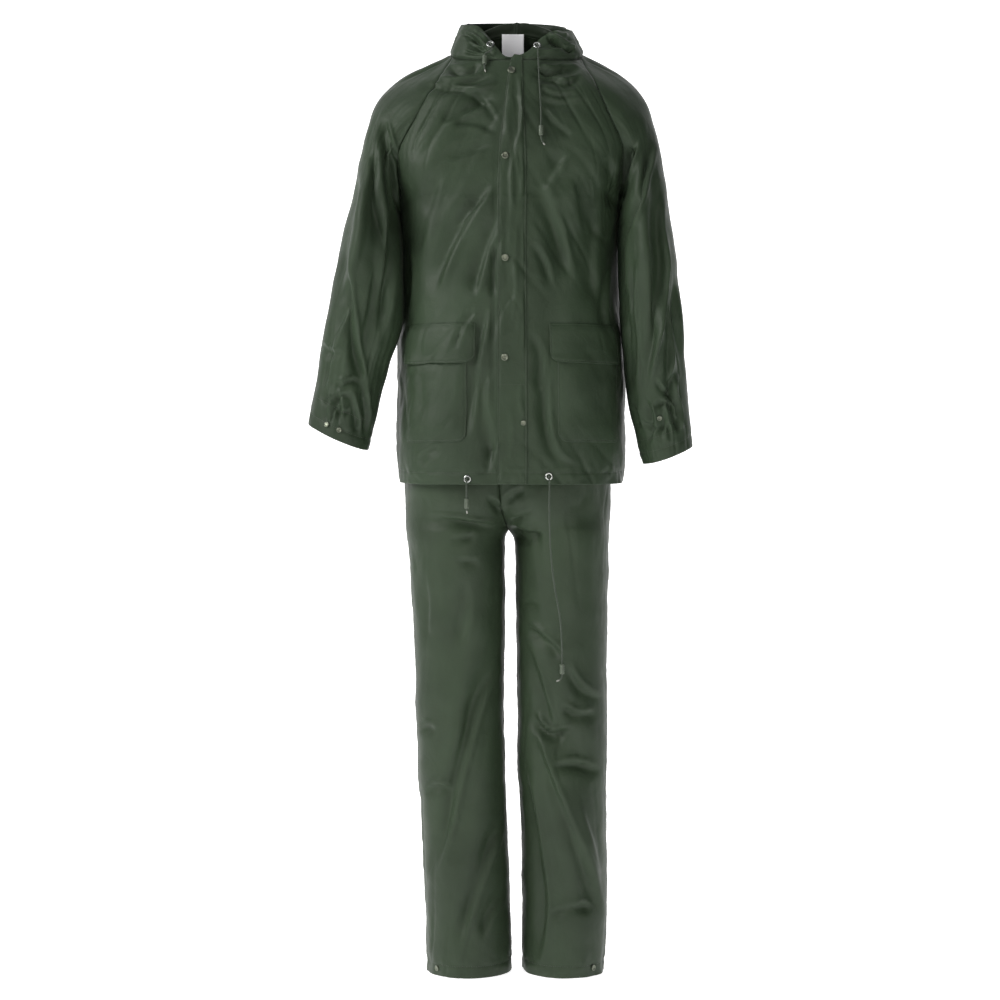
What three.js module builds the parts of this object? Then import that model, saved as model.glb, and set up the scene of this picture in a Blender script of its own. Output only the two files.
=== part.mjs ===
// A two-piece rain suit of coated cloth: a hooded jacket over trousers, hollow, in the form that it takes when worn.
// Units are millimetres. +Z is up, the front faces -Y, and +X is the wearer's left.
// The origin is the middle of the neck opening, where the wearer holds the suit up.
import * as THREE from "three";

// Cloth and seams
const CLOTH = 1.5; // wall of every panel
const SEAM_GAP = 0.3; // two sewn panels stand this far apart
const LAY_GAP = 0.35; // a piece that lies on a panel stands this far off it
const FLAP_CLOTH = 1.5;
const LABEL_CLOTH = 1;

// Panel grids
const RAGLAN_ROWS = 7; // rows of a front or back above the underarm
const NECK_SPANS = 4; // spans of the sleeve's short edge at the neck
const SHOULDER_RINGS = 4; // rings from the raglan seam to the first sleeve section
const BACK_COLUMNS = [0, 0.12, 0.24, 0.37, 0.5, 0.63, 0.77, 0.89, 1];
const FRONT_COLUMNS = [0, 0.063, 0.17, 0.21, 0.31, 0.43, 0.55, 0.68, 0.84, 1]; // at the flap's and pocket's edges
const FLAP_COLUMN = 1; // storm flap, from the centre front line
const POCKET_COLUMNS = [3, 7];
const POCKET_FLAP_COLUMNS = [2, 7];
const POCKET_BOTTOM_Z = -679;
const POCKET_TOP_Z = -501;
const POCKET_FLAP_BOTTOM_Z = -545;
const POCKET_FLAP_TOP_Z = -477;
const POCKET_FLAP_LIFT = 4; // how far its free edge stands off the pocket
const SIDE_HEM_LIFT = 9; // the hem rises this much at the side seams
const CENTRE_FRONT = { x: 2, neckX: 9 };
const CENTRE_BACK = { x: 3, neckX: 10 };

// Jacket below the underarm, a row for each height: side seams, the depth of front and back, and how far behind
// the middle the side seam lies, and how full its quarters are (1.66 is an ellipse)
const BODY = [
  { z: -751, right: -194, left: 197, front: -150, back: 146, seam: 0, full: 2.1 },
  { z: -726, right: -197, left: 200, front: -150, back: 146, seam: 4, full: 2.1 },
  { z: POCKET_BOTTOM_Z, right: -199, left: 201, front: -149, back: 145, seam: 12, full: 2.1 },
  { z: -612, right: -199, left: 201, front: -148, back: 143, seam: 22, full: 2.1 },
  { z: POCKET_FLAP_BOTTOM_Z, right: -198, left: 200, front: -146, back: 140, seam: 30, full: 2.1 },
  { z: POCKET_TOP_Z, right: -196, left: 197, front: -144, back: 137, seam: 34, full: 2.1 },
  { z: -489, right: -194, left: 196, front: -143, back: 136, seam: 34, full: 2.1 },
  { z: POCKET_FLAP_TOP_Z, right: -192, left: 194, front: -142, back: 135, seam: 34, full: 2.1 },
  { z: -430, right: -191, left: 190, front: -140, back: 134, seam: 34, full: 2.1 },
  { z: -375, right: -191, left: 187, front: -138, back: 133, seam: 32, full: 2.1 },
  { z: -318, right: -190, left: 185, front: -135, back: 131, seam: 22, full: 2.12 },
  { z: -262, right: -189, left: 187, front: -131, back: 128, seam: 0, full: 2.2 },
];

// Jacket above the underarm, from 0 at the underarm to 1 at the neck seam
const CENTRE_FRONT_LINE = [
  { s: 0, y: -130, z: -262 },
  { s: 0.3, y: -121, z: -190 },
  { s: 0.6, y: -110, z: -115 },
  { s: 0.85, y: -95, z: -52 },
  { s: 1, y: -80, z: -20 },
];
const CENTRE_BACK_LINE = [
  { s: 0, y: 127, z: -262 },
  { s: 0.3, y: 122, z: -170 },
  { s: 0.6, y: 112, z: -72 },
  { s: 0.85, y: 94, z: 10 },
  { s: 1, y: 76, z: 50 },
];
// Raglan seams: right and left are their X, and out, on and up turn the panel's row towards the sleeve
const RAGLAN_FRONT = [
  { s: 0, right: -189, left: 187, y: 0, z: -262, out: 0, on: 288, up: 0 },
  { s: 0.2, right: -194, left: 193, y: -42, z: -221, out: 10, on: 220, up: -15 },
  { s: 0.4, right: -191, left: 192, y: -72, z: -174, out: 50, on: 130, up: -30 },
  { s: 0.6, right: -163, left: 170, y: -85, z: -120, out: 80, on: 60, up: -35 },
  { s: 0.8, right: -132, left: 145, y: -73, z: -62, out: 70, on: 60, up: -25 },
  { s: 1, right: -101, left: 122, y: -22, z: -7, out: 20, on: 95, up: 34 },
];
const RAGLAN_BACK = [
  { s: 0, right: -189, left: 187, y: 0, z: -262, out: 0, on: -282, up: 0 },
  { s: 0.2, right: -193, left: 193, y: 42, z: -219, out: 10, on: -220, up: -15 },
  { s: 0.4, right: -182, left: 187, y: 72, z: -168, out: 50, on: -130, up: -30 },
  { s: 0.6, right: -152, left: 162, y: 86, z: -110, out: 80, on: -60, up: -35 },
  { s: 0.8, right: -119, left: 134, y: 78, z: -46, out: 70, on: -60, up: -30 },
  { s: 1, right: -86, left: 107, y: 38, z: 15, out: 30, on: -90, up: -30 },
];
const NECK_FULLNESS = 1.5;
const NECK_SIDE = { right: -105, left: 126, y: 6, z: 3 }; // widest point of the neck seam

// Sleeves: the top and under line in front view, and how far a section bulges to front and back of its middle
const SLEEVE_RIGHT = [
  { topX: -246, topZ: -112, underX: -192, underZ: -298, front: 86, back: 84, y: -4 },
  { topX: -255, topZ: -147, underX: -190, underZ: -320, front: 86, back: 84, y: -14 },
  { topX: -262, topZ: -182, underX: -188, underZ: -343, front: 86, back: 84, y: -24 },
  { topX: -269, topZ: -222, underX: -187, underZ: -370, front: 84, back: 82, y: -32 },
  { topX: -280, topZ: -270, underX: -186, underZ: -402, front: 80, back: 79, y: -38 },
  { topX: -292, topZ: -322, underX: -185.5, underZ: -435, front: 76, back: 76, y: -42 },
  { topX: -303, topZ: -374, underX: -186, underZ: -466, front: 72, back: 72, y: -44 },
  { topX: -313, topZ: -428, underX: -195, underZ: -500, front: 68, back: 68, y: -45 },
  { topX: -323, topZ: -482, underX: -208, underZ: -537, front: 64, back: 64, y: -45 },
  { topX: -332, topZ: -536, underX: -220, underZ: -580, front: 61, back: 61, y: -45 },
  { topX: -341, topZ: -588, underX: -232, underZ: -630, front: 58, back: 58, y: -45 },
  { topX: -348, topZ: -624, underX: -241, underZ: -668, front: 56, back: 55, y: -45 },
  { topX: -351, topZ: -644, underX: -246, underZ: -690, front: 55, back: 54, y: -45 },
];
const SLEEVE_LEFT = [
  { topX: 247, topZ: -112, underX: 186, underZ: -298, front: 88, back: 85, y: -4 },
  { topX: 256, topZ: -147, underX: 185.5, underZ: -322, front: 88, back: 86, y: -16 },
  { topX: 261, topZ: -182, underX: 185.5, underZ: -347, front: 87, back: 86, y: -28 },
  { topX: 267, topZ: -222, underX: 185.5, underZ: -376, front: 86, back: 85, y: -36 },
  { topX: 273, topZ: -270, underX: 186.5, underZ: -410, front: 84, back: 83, y: -41 },
  { topX: 281, topZ: -322, underX: 188, underZ: -449, front: 82, back: 80, y: -44 },
  { topX: 287, topZ: -376, underX: 190, underZ: -488, front: 79, back: 77, y: -46 },
  { topX: 293, topZ: -430, underX: 194, underZ: -529, front: 75, back: 73, y: -47 },
  { topX: 298, topZ: -486, underX: 197, underZ: -568, front: 71, back: 69, y: -48 },
  { topX: 302, topZ: -542, underX: 202, underZ: -614, front: 66, back: 64, y: -48 },
  { topX: 307, topZ: -600, underX: 213, underZ: -656, front: 62, back: 60, y: -48 },
  { topX: 311, topZ: -649, underX: 222, underZ: -694, front: 59, back: 57, y: -48 },
  { topX: 313, topZ: -682, underX: 228, underZ: -713, front: 58, back: 56, y: -48 },
];
// How a sleeve leaves the raglan seam: from 0 at the underarm round the front, the neck and the back to 1
const SLEEVE_START = [
  { around: 0, out: 0.4, y: 0, down: 0.9 },
  { around: 0.12, out: 0.85, y: -0.1, down: 0.6 },
  { around: 0.25, out: 0.92, y: 0, down: 0.4 },
  { around: 0.38, out: 0.94, y: 0.05, down: 0.47 },
  { around: 0.5, out: 0.94, y: 0, down: 0.47 },
  { around: 0.62, out: 0.94, y: -0.05, down: 0.47 },
  { around: 0.75, out: 0.92, y: 0, down: 0.4 },
  { around: 0.88, out: 0.85, y: 0.1, down: 0.6 },
  { around: 1, out: 0.4, y: 0, down: 0.9 },
];
const CUFF_DIP = 8; // the front of the cuff hangs this much lower
const CUFF_DIP_RINGS = 3;
const SHOULDER_REACH = 1.25; // tangent at both ends of the shoulder, as a share of its length

// Hood. Its face edge climbs from the throat to the standing height at the sides.
const HOOD_EDGE = [
  { around: 0, right: 4, left: 5 },
  { around: 0.06, right: 7, left: 14 },
  { around: 0.12, right: 22, left: 29 },
  { around: 0.18, right: 39, left: 41 },
  { around: 0.26, right: 59, left: 51 },
  { around: 0.36, right: 57, left: 51 },
  { around: 0.5, right: 51, left: 44 },
  { around: 0.7, right: 52, left: 44 },
  { around: 1, right: 42, left: 42 },
];
// Behind the neck it folds out and hangs as an open bag on the jacket's back
const HOOD_FOLD = [
  { around: 0, fold: 0, drop: 6, depth: 6 },
  { around: 0.5, fold: 0, drop: 20, depth: 10 },
  { around: 0.62, fold: 0.12, drop: 60, depth: 24 },
  { around: 0.75, fold: 0.6, drop: 130, depth: 38 },
  { around: 0.87, fold: 0.94, drop: 185, depth: 48 },
  { around: 1, fold: 1, drop: 208, depth: 52 },
];
const HOOD_CREST = 21; // how far the fold stands above the back neck seam
// The bag's section: along is down the back as a share of drop, and off is the height over the back
const HOOD_BAG = [
  { v: 0, crest: 0, along: 0, off: 0, deep: 0 },
  { v: 0.12, crest: 1, along: 0, off: 4, deep: 0 },
  { v: 0.2, crest: 0.55, along: 0, off: 11, deep: 0 },
  { v: 0.45, crest: 0, along: 0.5, off: 7, deep: 0 },
  { v: 0.62, crest: 0, along: 0.94, off: 7, deep: 0.05 },
  { v: 0.7, crest: 0, along: 1, off: 7, deep: 0.3 },
  { v: 0.78, crest: 0, along: 0.9, off: 6, deep: 0.75 },
  { v: 0.9, crest: 0, along: 0.42, off: 6, deep: 0.95 },
  { v: 1, crest: 0.35, along: 0, off: 6, deep: 0.92 },
];
// The standing wall's section, as shares of its height, with its lean outwards in millimetres
const HOOD_WALL = [
  { v: 0, rise: 0, out: 0 },
  { v: 0.2, rise: 0.18, out: 0 },
  { v: 0.5, rise: 0.5, out: -6 },
  { v: 0.8, rise: 0.82, out: -13 },
  { v: 1, rise: 1, out: -19 },
];
const HOOD_ROWS = [0, 0.07, 0.13, 0.2, 0.31, 0.43, 0.55, 0.64, 0.7, 0.77, 0.85, 0.93, 1];

// Trousers. in is the centre seam above the crotch and the inseam below it, and turn is how far a row has turned
// into the crotch there, from 0 for straight across to 1 for straight back.
const TROUSERS = [
  { z: -540, right: -163, left: 157, front: -102, back: 107, turn: 0 },
  { z: -600, right: -172, left: 165, front: -106, back: 113, turn: 0 },
  { z: -650, right: -180, left: 170, front: -108, back: 117, turn: 0.02 },
  { z: -690, right: -183, left: 173, front: -109, back: 118, turn: 0.08 },
  { z: -725, right: -184, left: 174, front: -109, back: 118, turn: 0.2 },
  { z: -756, right: -185, left: 174.5, front: -109, back: 118, turn: 0.38 },
  { z: -783, right: -184, left: 174, front: -109, back: 118, turn: 0.58 },
  { z: -806, right: -183, left: 173, front: -109, back: 118, turn: 0.8 },
  { z: -828, right: -182, left: 172, front: -109, back: 117, turn: 1 },
  { z: -842, right: -180.6, left: 171.8, front: -109, back: 116.5, turn: 1 },
  { z: -870, right: -178, left: 171, front: -108, back: 115, turn: 1 },
  { z: -930, right: -174, left: 170, front: -105, back: 110, turn: 1 },
  { z: -1000, right: -171, left: 168.5, front: -101, back: 104, turn: 1 },
  { z: -1080, right: -167.5, left: 168, front: -97, back: 98, turn: 1 },
  { z: -1160, right: -165, left: 168, front: -94, back: 93, turn: 1 },
  { z: -1240, right: -162, left: 168, front: -92, back: 90, turn: 1 },
  { z: -1320, right: -158, left: 167, front: -91, back: 88, turn: 1 },
  { z: -1400, right: -154, left: 167.5, front: -91, back: 87, turn: 1 },
  { z: -1480, right: -150, left: 167, front: -91, back: 87, turn: 1 },
  { z: -1545, right: -147.5, left: 166, front: -92, back: 88, turn: 1 },
  { z: -1596, right: -145, left: 165, front: -92, back: 88, turn: 1 },
];
const RISE_FRONT = [
  { z: -540, x: -12, y: -102, seamZ: -540 },
  { z: -600, x: -13, y: -106, seamZ: -600 },
  { z: -650, x: -15, y: -108, seamZ: -650 },
  { z: -690, x: -17, y: -109, seamZ: -690 },
  { z: -725, x: -19, y: -108, seamZ: -727 },
  { z: -756, x: -20, y: -102, seamZ: -762 },
  { z: -783, x: -16, y: -84, seamZ: -793 },
  { z: -806, x: -9, y: -48, seamZ: -817 },
  { z: -828, x: -4, y: 5, seamZ: -828 },
];
const RISE_BACK = [
  { z: -540, x: -8, y: 107, seamZ: -530 },
  { z: -600, x: -8, y: 113, seamZ: -594 },
  { z: -650, x: -8, y: 117, seamZ: -647 },
  { z: -690, x: -8, y: 118, seamZ: -690 },
  { z: -725, x: -8, y: 117, seamZ: -728 },
  { z: -756, x: -8, y: 111, seamZ: -764 },
  { z: -783, x: -8, y: 92, seamZ: -795 },
  { z: -806, x: -6, y: 54, seamZ: -818 },
  { z: -828, x: -4, y: 5, seamZ: -828 },
];
const INSEAM = [
  { z: -828, right: -4, left: -4 },
  { z: -842, right: -10, left: 5 },
  { z: -870, right: -10.5, left: 8 },
  { z: -930, right: -10, left: 8.5 },
  { z: -1080, right: -12, left: 11 },
  { z: -1160, right: -13, left: 12 },
  { z: -1240, right: -11, left: 12.5 },
  { z: -1320, right: -7, left: 18 },
  { z: -1400, right: -3.5, left: 19.5 },
  { z: -1596, right: 0, left: 21 },
];
const INSEAM_Y = 5;
const LEG_COLUMNS = [0, 0.13, 0.26, 0.39, 0.51, 0.63, 0.75, 0.87, 1];
const HIP_MIDDLE = 0.9; // depth of a hip panel halfway across, as a share of its depth at the centre seam
const HIP_PULL = 2;
const WAISTBAND = { height: 38, pull: 0.93, cloth: 2.5 };

// Largest folds. Each runs from one point of the front view to another, on the front or the back of its garment.
// A positive depth is a ridge, and a negative one is a trough.
const FOLDS = [
  { on: "sleeve_right", side: "front", x0: -262, z0: -150, x1: -318, z1: -520, width: 17, depth: -9 },
  { on: "sleeve_right", side: "front", x0: -236, z0: -190, x1: -290, z1: -560, width: 16, depth: 8 },
  { on: "sleeve_right", side: "front", x0: -214, z0: -230, x1: -262, z1: -600, width: 15, depth: -9 },
  { on: "sleeve_right", side: "back", x0: -240, z0: -170, x1: -300, z1: -540, width: 18, depth: -8 },
  { on: "sleeve_left", side: "front", x0: 232, z0: -120, x1: 272, z1: -500, width: 16, depth: -9 },
  { on: "sleeve_left", side: "front", x0: 214, z0: -190, x1: 250, z1: -560, width: 15, depth: 8 },
  { on: "sleeve_left", side: "front", x0: 290, z0: -470, x1: 299, z1: -655, width: 11, depth: -7 },
  { on: "sleeve_left", side: "back", x0: 235, z0: -170, x1: 272, z1: -540, width: 18, depth: -8 },
  { on: "jacket", side: "front", x0: -150, z0: -250, x1: -40, z1: -395, width: 26, depth: -5 },
  { on: "jacket", side: "front", x0: 160, z0: -215, x1: 60, z1: -400, width: 28, depth: -5 },
  { on: "jacket", side: "front", x0: 70, z0: -400, x1: 60, z1: -700, width: 22, depth: -5 },
  { on: "jacket", side: "back", x0: -120, z0: -330, x1: -70, z1: -680, width: 30, depth: -8 },
  { on: "jacket", side: "back", x0: 30, z0: -330, x1: 12, z1: -700, width: 26, depth: -6 },
  { on: "jacket", side: "back", x0: 130, z0: -310, x1: 90, z1: -660, width: 30, depth: -8 },
  { on: "trousers", side: "front", x0: -60, z0: -880, x1: -140, z1: -1240, width: 28, depth: -7 },
  { on: "trousers", side: "front", x0: -35, z0: -1010, x1: -95, z1: -1400, width: 24, depth: -7 },
  { on: "trousers", side: "front", x0: 24, z0: -1125, x1: 150, z1: -1250, width: 24, depth: -9 },
  { on: "trousers", side: "front", x0: 30, z0: -1150, x1: 140, z1: -1440, width: 26, depth: 8 },
  { on: "trousers", side: "back", x0: -40, z0: -930, x1: -120, z1: -1330, width: 30, depth: -8 },
  { on: "trousers", side: "back", x0: 40, z0: -1060, x1: 130, z1: -1340, width: 30, depth: -8 },
];

// Neck label, hung inside from the back neck seam
const LABEL = { width: 39, height: 46, x: 4, y: 71, top: 52 };

// Snaps on the storm flap: height and distance from the centre front line, and their radius
const FLAP_SNAPS = [
  { name: "snap_1", z: -43, across: -0.55, radius: 6.5 },
  { name: "snap_2", z: -192, across: -0.55, radius: 6 },
  { name: "snap_3", z: -367, across: -0.5, radius: 6 },
  { name: "snap_4", z: -536, across: -0.5, radius: 6 },
  { name: "snap_5", z: -647, across: 0.72, radius: 4.5 },
];
const CUFF_SNAP_RADIUS = 4.5;
const HEM_SNAP_RADIUS = 5;
const SNAP_HEIGHT = 1.8;
const EYELET = { bore: 3.4, radius: 6.6, height: 1.6 };
const PROBE_REACH = 15; // how far off the cloth its height is felt for
const PROBES = 12;

// Drawstrings, each from its eyelet to its free end, and the barrel on it, from its upper to its lower end
const CORD = { radius: 1.25, sides: 8, step: 5, mostSteps: 80 };
const BARREL = { radius: 4, bore: 1.9, edge: 1.2, sides: 12 };
const CORDS = [
  {
    name: "hood_cord_right",
    route: [
      [-35.7, -64.7, 8.1],
      [-35.8, -66.5, 9],
      [-35.6, -68.9, 9.3],
      [-34.8, -71.5, 8.1],
      [-33.9, -73.5, 5.2],
      [-33, -75, 0.8],
      [-33.4, -76, -3.4],
      [-36.1, -76.4, -6.4],
      [-40, -76.4, -7.6],
      [-43.4, -76.6, -9.2],
      [-45.2, -77.4, -12.2],
      [-45.4, -79.2, -17],
      [-45.6, -82.6, -25],
      [-45.8, -85, -30.8],
      [-45.7, -87.2, -35.5],
      [-45, -89.2, -40],
      [-43.8, -91.2, -44.5],
    ],
    barrel: { name: "hood_barrel_right", top: [-45.3, -78.2, -14.2], bottom: [-45.8, -84.8, -29.8] },
  },
  {
    name: "hood_cord_left",
    route: [
      [44.7, -67.1, 5.9],
      [44.7, -68.9, 6.9],
      [44.8, -71.2, 7.3],
      [45, -73.9, 6.4],
      [45.2, -76.2, 3.4],
      [45.6, -78.4, -4],
      [46, -80.6, -13],
      [46.4, -84.2, -23],
      [46.8, -89, -34],
      [47.2, -94, -46],
      [47.7, -97.8, -58],
      [48.3, -101.1, -69],
      [48.9, -104.1, -80],
      [49.5, -107.3, -92],
      [50, -109.9, -103],
      [50.4, -112.6, -114],
      [50.5, -115.2, -125],
      [50.6, -117.6, -134.5],
      [50.6, -118.9, -140.5],
      [50.6, -121.4, -157.3],
      [50.9, -122, -162],
      [52.2, -122.2, -166.5],
      [54.4, -122.2, -170.5],
      [57, -122, -174],
    ],
    barrel: { name: "hood_barrel_left", top: [50.6, -118.9, -140.5], bottom: [50.6, -121.4, -157.3] },
  },
  {
    name: "hem_cord_right",
    route: [
      [-74.2, -144.7, -741.5],
      [-74.6, -146.7, -741.5],
      [-75.1, -148.6, -742.3],
      [-75.4, -150.2, -744.5],
      [-75.6, -151, -748.5],
      [-75.6, -151.2, -753.5],
      [-75.6, -151.1, -760],
      [-75.5, -150.8, -767],
      [-75.4, -150.5, -774.5],
      [-75.3, -149.9, -791.5],
      [-75, -149.8, -795.5],
      [-74.3, -149.8, -800],
    ],
    barrel: { name: "hem_barrel_right", top: [-75.4, -150.5, -774.5], bottom: [-75.3, -149.9, -791.5] },
  },
  {
    name: "hem_cord_left",
    route: [
      [63.7, -147, -737.2],
      [63.9, -149, -737.2],
      [64.1, -151, -738.1],
      [64.2, -152.6, -740.4],
      [64.3, -153.4, -744.5],
      [64.3, -153.6, -750],
      [64.2, -153.2, -758],
      [64.1, -152.2, -771],
      [64, -150.8, -788],
      [64.3, -149, -806],
      [64.9, -146.5, -826],
      [65.6, -143.6, -848],
      [67.2, -140.4, -872],
      [69.8, -137, -898],
      [73.6, -133.4, -925],
      [78.2, -130.2, -951],
      [82.2, -127.4, -974],
      [84.6, -124.8, -998],
      [85.8, -122.6, -1022],
      [86.3, -121, -1042],
      [86.4, -120.2, -1056],
      [86.4, -119.4, -1073],
      [86, -119.2, -1077],
      [84.2, -119.2, -1081],
      [80.8, -119.4, -1083.6],
      [76.8, -119.6, -1084.6],
    ],
    barrel: { name: "hem_barrel_left", top: [86.4, -120.2, -1056], bottom: [86.4, -119.4, -1073] },
  },
];

// Small vector helpers
const V = (x, y, z) => new THREE.Vector3(x, y, z);
const mix = (a, b, t) => a + (b - a) * t;

// Value of one column of a table at a place between its rows, on a smooth curve through them
function column(rows, by, name, at) {
  const rising = rows[rows.length - 1][by] > rows[0][by] ? 1 : -1;
  let i = 0;
  while (i < rows.length - 2 && (at - rows[i + 1][by]) * rising > 0) i += 1;
  const a = rows[i];
  const b = rows[i + 1];
  const span = b[by] - a[by];
  const t = Math.min(Math.max((at - a[by]) / span, 0), 1);
  const before = rows[i - 1] ?? a;
  const after = rows[i + 2] ?? b;
  const slopeA = (b[name] - before[name]) / (b[by] - before[by]);
  const slopeB = (after[name] - a[name]) / (after[by] - a[by]);
  return hermiteValue(a[name], slopeA * span, b[name], slopeB * span, t);
}

function hermiteValue(p0, m0, p1, m1, t) {
  const t2 = t * t;
  const t3 = t2 * t;
  return p0 * (2 * t3 - 3 * t2 + 1) + m0 * (t3 - 2 * t2 + t) + p1 * (3 * t2 - 2 * t3) + m1 * (t3 - t2);
}

function hermite(p0, m0, p1, m1, t) {
  const axis = (name) => hermiteValue(p0[name], m0[name], p1[name], m1[name], t);
  return V(axis("x"), axis("y"), axis("z"));
}

// Panels of the jacket's body. side is "right" or "left" and out its sign in X.
const outward = (side) => (side === "right" ? -1 : 1);

function bodyPoint(side, face, z, u) {
  const value = (name) => column(BODY, "z", name, z);
  const centreX = (face === "front" ? CENTRE_FRONT : CENTRE_BACK).x;
  const start = V(centreX, value(face), z);
  const end = V(value(side), value("seam"), z);
  const run = end.x - start.x;
  const point = hermite(
    start,
    V(run * value("full"), 0, 0),
    end,
    V(0, (end.y - start.y) * value("full"), 0),
    u,
  );
  const nearHem = Math.max(0, 1 - (z - BODY[0].z) / 120);
  point.z += SIDE_HEM_LIFT * nearHem * u ** 4;
  return point;
}

function raglanPoint(side, face, s) {
  const table = face === "front" ? RAGLAN_FRONT : RAGLAN_BACK;
  return V(column(table, "s", side, s), column(table, "s", "y", s), column(table, "s", "z", s));
}

function yokePoint(side, face, s, u) {
  const line = face === "front" ? CENTRE_FRONT_LINE : CENTRE_BACK_LINE;
  const centre = face === "front" ? CENTRE_FRONT : CENTRE_BACK;
  const table = face === "front" ? RAGLAN_FRONT : RAGLAN_BACK;
  const start = V(mix(centre.x, centre.neckX, s ** 2), column(line, "s", "y", s), column(line, "s", "z", s));
  const end = raglanPoint(side, face, s);
  const run = (end.x - start.x) * mix(BODY[BODY.length - 1].full, NECK_FULLNESS, s);
  const turn = (name) => column(table, "s", name, s);
  return hermite(start, V(run, 0, 0), end, V(turn("out") * outward(side), turn("on"), turn("up")), u);
}

// Rows from the hem to the neck seam, columns from the centre line to the side
function bodyGrid(side, face) {
  const columns = face === "front" ? FRONT_COLUMNS : BACK_COLUMNS;
  const below = BODY.map(({ z }) => columns.map((u) => bodyPoint(side, face, z, u)));
  const above = Array.from({ length: RAGLAN_ROWS }, (_, k) =>
    columns.map((u) => yokePoint(side, face, (k + 1) / RAGLAN_ROWS, u)),
  );
  return [...below, ...above];
}

// Edge of a sleeve at the raglan seams and the neck, from the underarm round the front
function sleeveEdge(side) {
  const front = Array.from({ length: RAGLAN_ROWS + 1 }, (_, k) => raglanPoint(side, "front", k / RAGLAN_ROWS));
  const back = Array.from({ length: RAGLAN_ROWS }, (_, k) => raglanPoint(side, "back", k / RAGLAN_ROWS)).reverse();
  const backTop = raglanPoint(side, "back", 1);
  const neck = [];
  const middle = V(NECK_SIDE[side], NECK_SIDE.y, NECK_SIDE.z);
  const curve = new THREE.CatmullRomCurve3([front[RAGLAN_ROWS], middle, backTop], false, "centripetal");
  for (let k = 1; k < NECK_SPANS; k += 1) neck.push(curve.getPoint(k / NECK_SPANS));
  return [...front, ...neck, backTop, ...back];
}

// A ring of a sleeve, where fromCuff is 0 at the cuff and falls by 1 a ring towards the shoulder
function sleeveRing(section, sides, fromCuff) {
  const top = V(section.topX, 0, section.topZ);
  const under = V(section.underX, 0, section.underZ);
  const centre = top.clone().add(under).multiplyScalar(0.5);
  const reach = top.clone().sub(centre);
  return Array.from({ length: sides }, (_, j) => {
    const angle = (2 * Math.PI * j) / sides;
    const bulge = angle < Math.PI ? -section.front : section.back;
    const point = centre.clone().addScaledVector(reach, -Math.cos(angle));
    point.y = section.y + bulge * Math.abs(Math.sin(angle));
    point.z -= CUFF_DIP * Math.max(0, 1 + fromCuff / CUFF_DIP_RINGS) * Math.max(0, Math.sin(angle));
    return point;
  });
}

// Rings from the raglan seam to the cuff. The first and last column of a ring are the same point.
function sleeveGrid(side) {
  const edge = sleeveEdge(side);
  const sides = edge.length - 1;
  const table = side === "right" ? SLEEVE_RIGHT : SLEEVE_LEFT;
  const sections = table.map((row, i) => sleeveRing(row, sides, i - table.length + 1));
  const shoulder = [];
  for (let k = 0; k < SHOULDER_RINGS; k += 1) {
    const t = k / SHOULDER_RINGS;
    shoulder.push(
      sections[0].map((end, j) => {
        const start = edge[j];
        const length = end.distanceTo(start) * SHOULDER_REACH;
        const value = (name) => column(SLEEVE_START, "around", name, j / sides);
        const leave = V(value("out") * outward(side), value("y"), -value("down")).normalize();
        const arrive = sections[1][j].clone().sub(end).normalize();
        return hermite(start, leave.multiplyScalar(length), end, arrive.multiplyScalar(length), t);
      }),
    );
  }
  return [...shoulder, ...sections].map((ring) => [...ring, ring[0].clone()]);
}

// Hood half: columns along the neck seam from the throat to the centre back, rows from the seam to the face edge
function hoodGrid(side, body, sleeve) {
  const top = (grid) => grid[grid.length - 1];
  const neck = [];
  top(body[side].front).forEach((seam, j) => neck.push({ seam, kind: "front", j }));
  for (let k = 1; k < NECK_SPANS; k += 1) {
    neck.push({ seam: sleeve[side][0][RAGLAN_ROWS + k], kind: "sleeve", j: RAGLAN_ROWS + k });
  }
  for (let j = BACK_COLUMNS.length - 1; j >= 0; j -= 1) neck.push({ seam: top(body[side].back)[j], kind: "back", j });
  let run = 0;
  const along = neck.map(({ seam }, k) => {
    if (k > 0) run += seam.distanceTo(neck[k - 1].seam);
    return run;
  });
  const middle = V(CENTRE_BACK.neckX, 0, 0);
  return HOOD_ROWS.map((v) =>
    neck.map(({ seam, kind, j }, k) => {
      const around = along[k] / run;
      const fold = Math.max(0, column(HOOD_FOLD, "around", "fold", around));
      const out = seam.clone().sub(middle).setZ(0).normalize();
      const centre = k === neck.length - 1;
      if (centre) out.set(0, 1, 0);
      const height = column(HOOD_EDGE, "around", side, around);
      const lean = column(HOOD_WALL, "v", "out", v) * Math.min(1, height / 40);
      const wall = seam.clone().addScaledVector(out, lean);
      wall.z += column(HOOD_WALL, "v", "rise", v) * height;
      if (fold === 0) return wall;
      const drop = column(HOOD_FOLD, "around", "drop", around);
      const depth = column(HOOD_FOLD, "around", "depth", around);
      const value = (name) => column(HOOD_BAG, "v", name, v);
      const down = value("along") * drop - value("crest") * HOOD_CREST;
      const off = value("off") + value("deep") * depth;
      const base = kind === "back" ? backLine(body[side].back, j, down) : shoulderLine(sleeve[side], j, down);
      if (centre) base.normal.setX(0).normalize();
      const bag = base.point.addScaledVector(base.normal, off);
      return wall.lerp(bag, fold);
    }),
  );
}

// A point at a distance down one line of a surface, and the surface's direction out there
function lineAt(points, sideways, distance) {
  let left = Math.max(distance, 0);
  let i = 0;
  while (i < points.length - 2 && left > points[i].distanceTo(points[i + 1])) {
    left -= points[i].distanceTo(points[i + 1]);
    i += 1;
  }
  const along = points[i + 1].clone().sub(points[i]);
  const length = along.length();
  along.normalize();
  const point = points[i].clone().addScaledVector(along, distance < 0 ? distance : Math.min(left, length));
  const blend = distance < 0 ? 0 : left / length;
  const across = sideways[i].clone().lerp(sideways[i + 1], blend);
  const normal = along.clone().cross(across).normalize();
  if (normal.y < 0) normal.negate();
  return { point, normal };
}

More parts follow.
